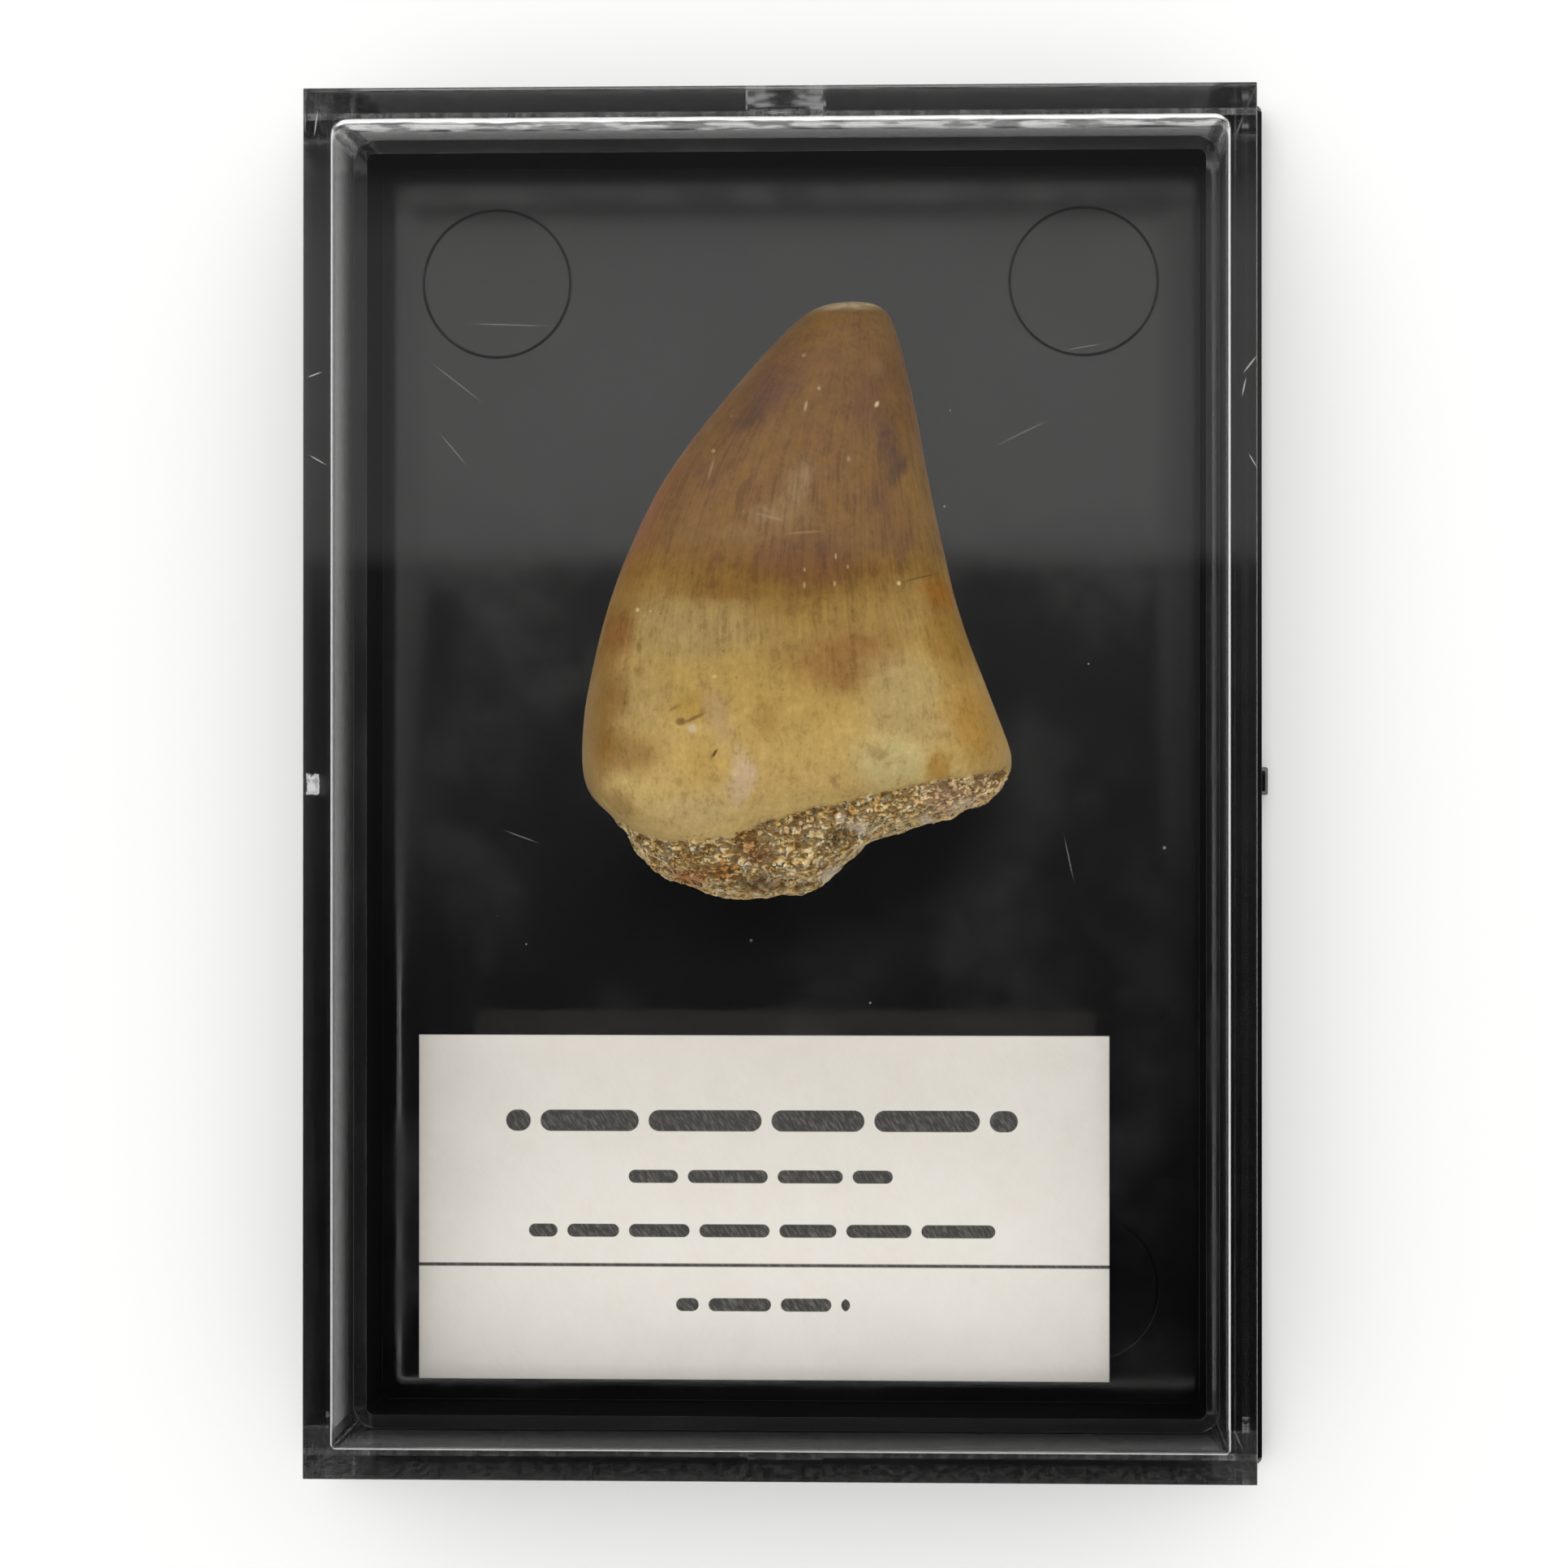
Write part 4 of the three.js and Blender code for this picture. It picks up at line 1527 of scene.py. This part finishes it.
@dataclass(frozen=True)
class SpongyBone:
    """Crumbly bone from brown to cream, with dark holes, stained lumps and white broken bits, and
    painted shade in its gaps, low points and hollows.
    """

    tones: tuple[tuple[float, Triple], ...] = (
        (0.06, srgb(122, 82, 36)), (0.26, srgb(186, 140, 72)), (0.46, srgb(227, 188, 118)),
        (0.66, srgb(247, 223, 170)), (0.86, srgb(255, 245, 218)),
    )
    fray: Fray = Fray(0.36, 3.0, 0.6, (0.8, 0.8, 0.8))
    grain_size: float = 0.62 * MM
    grain_weight: float = 0.30
    # painted light and shade: each grain darkens toward its edge, and the relief's raised points
    # are paler
    grain_edge_shade_weight: float = -0.25
    crumb_size: float = 0.30 * MM
    crumb_weight: float = 0.26
    relief_light_weight: float = 0.25
    clouds: Grain = Grain(0.36, 3.0, 0.6)
    cloud_weight: float = 1.3
    base_tone: float = 0.30
    stain_keeps: float = 0.45
    rind: Triple = srgb(236, 222, 194)
    rind_facing: Span = (0.5, 0.15)
    rind_patches: Grain = Grain(0.9, 3.0, 0.5, (0.38, 0.6), (0.1, 0.75))
    rind_holes: Span = (0.88, 0.2)
    # painted shade: the gaps between grains and the relief's low points take the dark pit colour,
    # along with the real holes
    pit_and_shade_brown: Triple = srgb(50, 34, 18)
    gap_shade_span: Span = (0.66, 0.88)
    sunk_shade_span: Span = (0.20, 0.02)
    sunk_shade_share: float = 0.7
    holes: Grain = Grain(0.36, 2.0, 0.5, (0.575, 0.64))
    hole_depth: float = 0.6

    def build(self, g: Graph, place: Socket, facing: Socket) -> tuple[Socket, Socket]:
        """Build the spongy bone's colour and its relief.

        Args:
            g: The graph to build in.
            place: The place on the object.
            facing: The surface's own direction.

        Returns:
            The colour, and the height of the fine relief.
        """
        frayed = self.fray.move(g, place)
        grains, crumbs = g.cells(frayed, self.grain_size), g.cells(frayed, self.crumb_size)
        relief = g.attribute("relief")
        cloud = self.clouds.plain(g, place)
        # painted light and shade: grains darker toward their edges, raised relief paler
        tone = g.total(
            g.product(grains["Color"], self.grain_weight),
            g.product(crumbs["Color"], self.crumb_weight),
            g.product(relief, self.relief_light_weight), g.swing(cloud, self.cloud_weight),
            g.product(grains["Distance"], self.grain_edge_shade_weight), self.base_tone,
        )
        colour = g.ramp(tone, list(self.tones))
        for stain in BONE_STAINS:
            colour = stain.lay(g, frayed, colour, self.stain_keeps)
        _, _, up = g.axes(facing)
        rind = g.product(g.fade(up, *self.rind_facing), self.rind_patches.faded(g, place))
        colour = g.mix(rind, colour, self.rind)
        # painted shade: gaps between grains and low points of the relief darken together with the
        # real holes
        sunk = g.most(g.fade(grains["Distance"], *self.gap_shade_span), g.fade(relief, *self.sunk_shade_span))
        dark = g.most(g.product(sunk, self.sunk_shade_share), self.holes.faded(g, frayed))
        most_rind = self.rind_patches.levels[1]
        dark = g.product(dark, g.linear(rind, 0.0, most_rind, *self.rind_holes))
        colour = g.mix(dark, colour, self.pit_and_shade_brown)
        for stain in WHITE_BONE:
            colour = stain.lay(g, frayed, colour)
        return colour, g.math("SUBTRACT", cloud, g.product(dark, self.hole_depth))


@dataclass(frozen=True)
class FossilTooth:
    """The fossil's surface: enamel on the crown, spongy bone below its frayed margin."""

    enamel: Enamel = Enamel()
    enamel_relief: float = 0.03 * MM
    bone: SpongyBone = SpongyBone()
    bone_relief: float = 0.10 * MM
    bone_roughness: float = 0.4
    margin: Grain = Grain(0.35, 3.0, 0.6)
    margin_fray: float = 1.6
    margin_span: Span = (0.4, 0.6)
    polish: Grain = Grain(1.8, 3.0, 0.5, (0.3, 0.7), (0.38, 0.52))
    ior: float = 1.55
    sheen: float = 0.12

    def make(self) -> bpy.types.Material:
        """Make the finish.

        Returns:
            The material.
        """
        material, g = Graph.for_material("fossil_enamel_and_bone")
        where = g.node("TexCoord", {}).outputs
        place, facing = where["Object"], where["Normal"]
        enamel, enamel_height = self.enamel.build(g, place, facing)
        bone, bone_height = self.bone.build(g, place, facing)
        frayed = g.swing(self.margin.plain(g, place), self.margin_fray)
        share = g.fade(g.total(g.attribute("bone"), frayed), *self.margin_span)
        enamel_normal = g.bump(enamel_height, self.enamel_relief)
        bone_normal = g.bump(bone_height, self.bone_relief)
        normals = {0: share, 4: enamel_normal, 5: bone_normal}
        rougher = g.product(share, self.bone_roughness)
        g.surface({
            "Base Color": g.mix(share, enamel, bone),
            "Roughness": g.total(self.polish.faded(g, place), rougher),
            "IOR": self.ior, "Specular IOR Level": self.sheen,
            "Normal": g.node("Mix", normals, data_type="VECTOR").outputs[1],
        })
        return material


# ---------- Case ----------


@dataclass
class DisplayBase:
    """Black tray: a flanged floor plate with a thin upstanding rim that the lid drops over."""

    flange_reach: float = 1.4 * MM
    flange_top: float = 1.8 * MM
    flange_corner: float = 0.5 * MM
    rim_inset: float = 1.6 * MM
    rim_wall: float = 0.8 * MM
    rim_corner: float = 1.25 * MM
    floor_top: float = 2.0 * MM
    floor_fillet: float = 0.06 * MM
    witness_radius: float = 4.5 * MM
    witness_x: float = 17.9 * MM
    witness_y: float = 30.6 * MM
    witness_groove: float = 0.18 * MM
    edge: float = 0.015 * MM
    underside_edge: float = 0.18 * MM
    crease: float = math.radians(50)
    corner_slack: float = 0.3 * MM
    gate_width: float = 1.7 * MM
    gate_reach: float = 0.4 * MM
    gate_y: float = 0.2 * MM
    gate_bottom: float = 0.3 * MM
    gate_top: float = 1.4 * MM
    gate_edge: float = 0.12 * MM

    def build(self) -> Workpiece:
        """Model the tray.

        Returns:
            The tray.
        """
        lid_low, lid_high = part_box("case_lid")
        reach = self.flange_reach
        outer = Vector((lid_high.x + reach, lid_high.y + reach))
        rim_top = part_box("case_base")[1].z
        rim = Vector((lid_high.x - self.rim_inset, lid_high.y - self.rim_inset)) * 2
        hollow = rim - Vector((self.rim_wall, self.rim_wall)) * 2

        tray = Workpiece.from_block(
            "base_moulding", (-outer.x, -outer.y, 0.0), (outer.x, outer.y, self.flange_top),
        )
        with tray.editing():
            tray.select(Pick.FACES, lambda face: face.normal.z > 0.9)
            bpy.ops.mesh.inset(thickness=reach + self.rim_inset)
            lift(rim_top - self.flange_top)
            bpy.ops.mesh.inset(thickness=self.rim_wall)
            lift(self.floor_top - rim_top)
        self.round_off(tray, outer * 2, rim, hollow, rim_top)
        self.add_gate(tray, outer.x)
        self.mark_witness_rings(tray)
        tray.smooth(35)
        tray.modify("WEIGHTED_NORMAL", keep_sharp=True)
        return tray

    def round_off(
        self, tray: Workpiece, flange: Vector, rim: Vector, hollow: Vector, rim_top: float,
    ) -> None:
        """Round the tray's corners and break its edges.

        Args:
            tray: The tray.
            flange: Width and length of the flange.
            rim: Outer width and length of the rim.
            hollow: Inner width and length of the rim.
            rim_top: Height of the rim.
        """
        def is_corner(edge: bmesh.types.BMEdge, size: Vector) -> bool:
            """Tell whether an edge is an upright corner of a centred rectangle."""
            off = (abs(abs(edge.verts[0].co[axis]) - size[axis] / 2) for axis in (0, 1))
            return is_upright(edge) and max(off) < self.corner_slack

        def is_sharp(edge: bmesh.types.BMEdge, height: float) -> bool:
            """Tell whether an edge lies at a height and is sharp."""
            return lies_at(edge, height) and self.is_crease(edge)

        top, floor = self.flange_top, self.floor_top
        with tray.editing():
            tray.bevel(lambda e: is_corner(e, hollow), self.rim_corner - self.rim_wall, 4)
            tray.bevel(lambda e: is_corner(e, rim), self.rim_corner, 6)
            tray.bevel(lambda e: is_corner(e, flange), self.flange_corner, 4)
            tray.bevel(lambda e: lies_at(e, floor) and within(e, *hollow), self.floor_fillet, 3)
            tray.bevel(lambda e: is_sharp(e, rim_top), self.edge, 2)
            tray.bevel(lambda e: is_sharp(e, top) and not within(e, *rim), self.edge, 2)
            tray.bevel(lambda e: is_sharp(e, 0.0), self.underside_edge, 2)

    def is_crease(self, edge: bmesh.types.BMEdge) -> bool:
        """Tell whether two faces meet at more than a slight angle along an edge."""
        return len(edge.link_faces) == 2 and edge.calc_face_angle() > self.crease

    def add_gate(self, tray: Workpiece, flange_edge: float) -> None:
        """Leave the broken-off stub of the moulding gate on the flange's right edge.

        Args:
            tray: The tray.
            flange_edge: Where the flange ends toward +X.
        """
        half = self.gate_width / 2
        stub = Workpiece.from_block(
            "gate", (flange_edge - self.gate_reach, self.gate_y - half, self.gate_bottom),
            (flange_edge + self.gate_reach, self.gate_y + half, self.gate_top),
        )
        with stub.editing():
            bpy.ops.mesh.select_all(action="SELECT")
            bpy.ops.mesh.subdivide(number_cuts=3)
            stub.bevel(is_folded, self.gate_edge, 2)
        tray.combine([stub], "UNION")

    def mark_witness_rings(self, tray: Workpiece) -> None:
        """Cut the four fine rings that the mould's ejector pins leave in the floor.

        Args:
            tray: The tray.
        """
        radius, groove = self.witness_radius, self.witness_groove
        rings = [
            Workpiece.from_ring("ring", (x, y, self.floor_top), radius, groove)
            for x in (-self.witness_x, self.witness_x)
            for y in (-self.witness_y, self.witness_y)
        ]
        tray.combine(rings, "DIFFERENCE")


@dataclass
class ClearLid:
    """Clear cover: a plate with four walls, rounded inside, and two fingernail notches."""

    side_wall: float = 1.42 * MM
    end_wall: float = 1.55 * MM
    plate: float = 1.6 * MM
    cavity_corner: float = 0.9 * MM
    near_corner: float = 0.35 * MM
    far_fillet: float = 0.8 * MM
    fillet: float = 0.18 * MM
    outer_edge: float = 0.06 * MM
    notch_width: float = 4.5 * MM
    notch_height: float = 1.2 * MM

    def build(self) -> Workpiece:
        """Model the cover.

        Returns:
            The cover.
        """
        low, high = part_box("case_lid")
        cavity = Vector((high.x - self.side_wall, high.y - self.end_wall)) * 2
        ceiling = high.z - self.plate
        lid = Workpiece.from_block("lid_moulding", low, high)
        with lid.editing():
            lid.select(Pick.FACES, lambda face: face.normal.z < -0.9)
            bpy.ops.mesh.inset(thickness=self.end_wall)
            lid.select(Pick.FACES, lambda face: face.normal.z < -0.9 and within(face, *cavity))
            bpy.ops.transform.resize(value=(cavity.x / (2 * (high.x - self.end_wall)), 1.0, 1.0))
            lift(ceiling - low.z)
            for side, radius in ((1, self.cavity_corner), (-1, self.near_corner)):
                lid.bevel(
                    lambda e: is_upright(e) and is_folded(e) and within(e, *cavity)
                    and e.verts[0].co.y * side > 0,
                    radius, 8,
                )
        self.round_ceiling(lid, ceiling, cavity.y / 2)
        with lid.editing():
            lid.bevel(
                lambda e: is_folded(e) and not within(e, *cavity) and not lies_at(e, low.z),
                self.outer_edge, 2,
            )
        half = self.notch_width / 2
        notch = Workpiece.from_block(
            "notch", (-half, low.y - MM, low.z - MM),
            (half, high.y + MM, low.z + self.notch_height),
        )
        lid.combine([notch], "DIFFERENCE")
        lid.smooth(35)
        lid.modify("WEIGHTED_NORMAL", keep_sharp=True)
        return lid

    def round_ceiling(self, lid: Workpiece, ceiling: float, far_end: float) -> None:
        """Round the cavity's upper edge, widest along the far wall.

        Args:
            lid: The cover.
            ceiling: Height of the cavity's ceiling.
            far_end: Where the cavity ends toward +Y.
        """
        with lid.editing():
            shape = bmesh.from_edit_mesh(lid.obj.data)
            weight = shape.edges.layers.float.new("bevel_weight_edge")
            for edge in shape.edges:
                if lies_at(edge, ceiling) and is_folded(edge):
                    short = far_end - sum(vert.co.y for vert in edge.verts) / 2
                    near = max(0.0, 1.0 - short / self.cavity_corner)
                    radius = self.fillet + (self.far_fillet - self.fillet) * near
                    edge[weight] = radius / self.far_fillet
            bmesh.update_edit_mesh(lid.obj.data)
        lid.modify(
            "BEVEL", limit_method="WEIGHT", width=self.far_fillet, segments=8,
            offset_type="OFFSET",
        )


@dataclass
class LabelCard:
    """Paper card lying on the floor below the tooth, its right end lifting slightly."""

    cell: float = 1.0 * MM
    bow: float = 0.10 * MM
    ripple: float = 0.25
    ripple_length: float = 7.0 * MM
    corner: float = 0.06 * MM

    def build(self) -> Workpiece:
        """Model the card.

        Returns:
            The card.
        """
        low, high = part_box("label_card")
        card = Workpiece.from_block("label", low, high)
        with card.editing():
            card.bevel(lambda e: not is_upright(e), self.corner, 2)
            for axis in (0, 1):
                middle = (low + high) / 2
                cuts = int((high[axis] - low[axis]) / self.cell)
                for step in range(1, cuts):
                    bpy.ops.mesh.select_all(action="SELECT")
                    point, normal = list(middle), [0.0, 0.0, 0.0]
                    point[axis] = low[axis] + (high[axis] - low[axis]) * step / cuts
                    normal[axis] = 1.0
                    bpy.ops.mesh.bisect(plane_co=point, plane_no=normal)
        points = card.points()
        across = (points[:, 0] - low.x) / (high.x - low.x)
        ripple = np.sin(points[:, 1] / self.ripple_length) * self.ripple + 1.0 - self.ripple
        points[:, 2] += self.bow * across ** 3 * ripple
        card.set_points(points)
        card.smooth(40)
        return card


# ---------- Specimen ----------


class Relief(Enum):
    """The character of an uneven surface."""

    SOFT = "CLOUDS"
    CRUMBLED = "DISTORTED_NOISE"


@dataclass
class ToothSpecimen:
    """The fossil: a smooth crown, and below its lower margin the broken spongy bone."""

    margin: tuple[tuple[float, float], ...] = (
        (-9.9 * MM, -2.3 * MM), (-7.3 * MM, -3.4 * MM), (-3.9 * MM, -3.3 * MM),
        (1.1 * MM, -1.7 * MM), (7.8 * MM, -0.1 * MM), (13.4 * MM, 0.8 * MM),
    )
    margin_waver: float = 0.10 * MM
    margin_blur: float = 0.3 * MM
    fine_above: float = 4.0 * MM
    lump: float = 0.55 * MM
    lump_size: float = 1.9 * MM
    chunk: float = 0.45 * MM
    chunk_size: float = 0.75 * MM
    grain: float = 0.26 * MM
    grain_size: float = 0.46 * MM
    crumb: float = 0.08 * MM
    crumb_size: float = 0.18 * MM
    side_share: float = 0.25
    undulation: float = 0.10 * MM
    undulation_size: float = 4.0 * MM
    growth_row: float = 1.0 * MM
    growth_depth: float = 0.65

    def build(self) -> Workpiece:
        """Model the tooth.

        Returns:
            The tooth.
        """
        tooth = Workpiece.from_node("fossil", "mosasaur_tooth")
        with tooth.editing():
            bpy.ops.mesh.select_all(action="SELECT")
            bpy.ops.mesh.tris_convert_to_quads(face_threshold=math.pi, shape_threshold=math.pi)
        tooth.modify("SUBSURF", levels=1, render_levels=1)
        for _ in range(2):
            with tooth.editing():
                tooth.select(Pick.FACES, self.is_fine_bone)
                bpy.ops.mesh.subdivide(number_cuts=1, smoothness=0.5)
        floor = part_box("mosasaur_tooth")[0].z
        bone = self.bone_share(tooth.points())
        self.displace(tooth, Relief.SOFT, self.undulation_size, self.undulation, 1 - bone)
        self.roughen(tooth, bone)
        points = tooth.points()
        points[:, 2] = np.maximum(points[:, 2], floor)
        tooth.set_points(points)
        tooth.mark("bone", bone)
        tooth.mark("growth", self.growth(points))
        tooth.smooth(180)
        return tooth

    def margin_at(self, x: np.ndarray) -> np.ndarray:
        """Return how far along the tooth its enamel ends, at places across it."""
        return np.interp(x, *np.array(self.margin).T)

    def is_fine_bone(self, face: bmesh.types.BMFace) -> bool:
        """Test whether a face lies in the bone, clear of the floor, where it is modelled finely.

        Args:
            face: The face.

        Returns:
            Whether it does.
        """
        centre = face.calc_center_median()
        in_bone = centre.y < self.margin_at(centre.x) + self.margin_blur
        return in_bone and centre.z > self.fine_above

    def bone_share(self, points: np.ndarray) -> np.ndarray:
        """Part the bone from the enamel along an uneven line.

        Args:
            points: The points of the tooth.

        Returns:
            1 in the bone and 0 in the enamel, for each point.
        """
        x, y, z = points.T
        long_wave = np.sin(x / (0.55 * MM) + z / (0.8 * MM))
        short_wave = np.sin(x / (0.23 * MM) - z / (0.5 * MM) + 1.0)
        waver = self.margin_waver * (long_wave + short_wave) / 2
        beyond = self.margin_at(x) + waver - y
        return np.clip(0.5 + beyond / self.margin_blur, 0.0, 1.0)

    @staticmethod
    def displace(
        piece: Workpiece, kind: Relief, size: float, depth: float, share: np.ndarray,
    ) -> None:
        """Raise and lower the surface over a noise.

        Args:
            piece: The piece.
            kind: The character of the relief.
            size: The size of its features.
            depth: How far it goes from its lowest to its highest point.
            share: How much of it each point gets, from 0 to 1.
        """
        relief = bpy.data.textures.new(kind.name.lower(), kind.value)
        relief.noise_scale = size
        if kind is Relief.CRUMBLED:
            relief.noise_basis, relief.noise_distortion = "IMPROVED_PERLIN", "IMPROVED_PERLIN"
            relief.distortion = 1.6
        group = piece.group(f"{kind.name.lower()}_{size / MM * 1000:.0f}", share)
        piece.modify(
            "DISPLACE", texture=relief, strength=depth, mid_level=0.5, texture_coords="LOCAL",
            vertex_group=group,
        )

    def roughen(self, tooth: Workpiece, bone: np.ndarray) -> None:
        """Give the bone its lumps and grains, and mark how high each point of it stands.

        Args:
            tooth: The tooth.
            bone: 1 in the bone and 0 in the enamel.
        """
        self.displace(tooth, Relief.SOFT, self.lump_size, self.lump, bone)
        facing = tooth.normals()
        upward = bone * np.clip(self.side_share + facing[:, 2] / 0.6, self.side_share, 1.0)
        self.displace(tooth, Relief.SOFT, self.chunk_size, self.chunk, upward)
        before = tooth.points()
        self.displace(tooth, Relief.CRUMBLED, self.grain_size, self.grain, upward)
        self.displace(tooth, Relief.SOFT, self.crumb_size, self.crumb, upward)
        height = np.einsum("ij,ij->i", tooth.points() - before, facing)
        tooth.mark("relief", np.clip(0.5 + height / self.grain, 0.0, 1.0))

    def growth(self, points: np.ndarray) -> np.ndarray:
        """Return for each point its direction round the crown and its place along it.

        Args:
            points: The points of the tooth.

        Returns:
            The cosine and sine of the angle round the crown, and the distance along it.
        """
        x, y, z = points.T
        rows = np.arange(y.min(), y.max(), self.growth_row)
        near = [np.abs(y - row) < self.growth_row for row in rows]
        left = np.interp(y, rows, [x[n].min() for n in near])
        right = np.interp(y, rows, [x[n].max() for n in near])
        level = np.interp(y, rows, [z[n][np.argmin(x[n])] for n in near])
        half = (right - left) / 2
        u = (x - (left + right) / 2) / half
        w = (z - level) / (self.growth_depth * half)
        length = np.hypot(u, w) + 1e-9  # never quite 0
        return np.stack([u / length, w / length, y], axis=1)


# ---------- Floor, light and camera ----------


@dataclass
class Studio:
    """A pale floor, soft light from all round, and a dark ceiling that gives way to a pale one."""

    floor_colour: Triple = srgb(250, 250, 249)
    floor_mottle: Triple = srgb(246, 246, 245)
    floor_patch: float = 0.12
    floor_roughness: float = 0.9
    floor_size: float = 3.0
    floor_thickness: float = 0.02
    floor_edge: float = 5.0 * MM
    light: Triple = (1.0, 1.0, 0.995)
    high_y: Span = (-0.8, 0.8)
    high: Span = (1.05, 1.66)
    low_y: Span = (-0.3, 0.9)
    low: Span = (0.12, 1.5)
    raised_z: Span = (0.3, 0.6)
    ceiling_z: Span = (0.955, 0.975)
    ceiling_dark: float = 0.002
    ceiling_edge: float = 0.058
    ceiling_pale: float = 0.25
    dusk_slope: Span = (-0.14, 0.05)
    pale_slope: Span = (0.048, 0.060)
    end_slopes: tuple[tuple[float, float, float, float], ...] = (
        (0.145, 0.137, 0.3, 0.66), (0.139, 0.125, 0.0, 0.34),
    )
    camera_place: Triple = (10.91 * MM, -0.92 * MM, 270.85 * MM)
    camera_turn: Triple = (0.0035, 0.0419, 0.0001)
    lens: float = 101.1
    sensor: float = 36.0
    sight: Span = (0.01, 10.0)

    def build(self) -> None:
        """Set up the floor, the world's light and the camera."""
        self.lay_floor()
        self.light_world()
        self.set_camera()
        bpy.context.scene.view_settings.view_transform = "Standard"

    def lay_floor(self) -> None:
        """Lay the pale floor under the case."""
        half = self.floor_size / 2
        low, high = (-half, -half, -self.floor_thickness), (half, half, 0.0)
        floor = Workpiece.from_block("studio_floor", low, high)
        with floor.editing():
            floor.bevel(lambda e: lies_at(e, 0.0), self.floor_edge, 3)
        material, g = Graph.for_material("studio_paper")
        mottle = g.noise(g.place(), self.floor_patch, 3.0)
        colour = g.mix(mottle, self.floor_colour, self.floor_mottle)
        g.surface({"Base Color": colour, "Roughness": self.floor_roughness})
        floor.obj.data.materials.append(material)

    def light_world(self) -> None:
        """Light the case from a world that is bright round the sides and dim overhead."""
        world = bpy.data.worlds.new("studio_light")
        bpy.context.scene.world = world
        world.use_nodes = True
        g = Graph(world.node_tree)
        _, y, z = g.axes(g.node("TexCoord", {}).outputs["Generated"])
        high = g.linear(y, *self.high_y, *self.high)
        low = g.fade(y, *self.low_y, *self.low)
        sky = g.between(g.fade(z, *self.raised_z), low, high)
        ceiling = self.ceiling(g, g.math("DIVIDE", y, g.most(z, 0.05)))
        strength = g.between(g.fade(z, *self.ceiling_z), sky, ceiling)
        shade = g.node("Background", {"Color": self.light, "Strength": strength})
        g.node("OutputWorld", {"Surface": shade.outputs[0]})

    def ceiling(self, g: Graph, slope: Socket) -> Socket:
        """Return the light straight overhead: dark, with one pale patch beyond the middle.

        Args:
            g: The graph to build in.
            slope: How far a place overhead lies toward +Y, in heights.

        Returns:
            The strength of the light.
        """
        rise = g.linear(slope, *self.dusk_slope)
        dusk = g.between(g.product(rise, rise), self.ceiling_dark, self.ceiling_edge)
        pale = g.fade(slope, *self.pale_slope, 0.0, self.ceiling_pale)
        end = g.total(*(g.fade(slope, *step) for step in self.end_slopes))
        return g.product(g.most(dusk, pale), end)

    def set_camera(self) -> None:
        """Look straight down on the case from above."""
        data = bpy.data.cameras.new("camera")
        data.lens, data.sensor_width = self.lens, self.sensor
        data.clip_start, data.clip_end = self.sight
        camera = bpy.data.objects.new("camera", data)
        camera.location, camera.rotation_euler = self.camera_place, self.camera_turn
        bpy.context.scene.collection.objects.link(camera)
        bpy.context.scene.camera = camera


def main() -> None:
    """Build the case, the label and the tooth, then the studio round them."""
    DisplayBase().build().finish(BlackPolystyrene().make(), "case_base", "black_plastic")
    ClearLid().build().finish(ClearPolystyrene().make(), "case_lid", "clear_plastic")
    LabelCard().build().finish(PrintedCard().make(), "label_card", "label_paper")
    ToothSpecimen().build().finish(FossilTooth().make(), "mosasaur_tooth", "fossil_tooth")
    Studio().build()


if __name__ == "__main__":
    main()
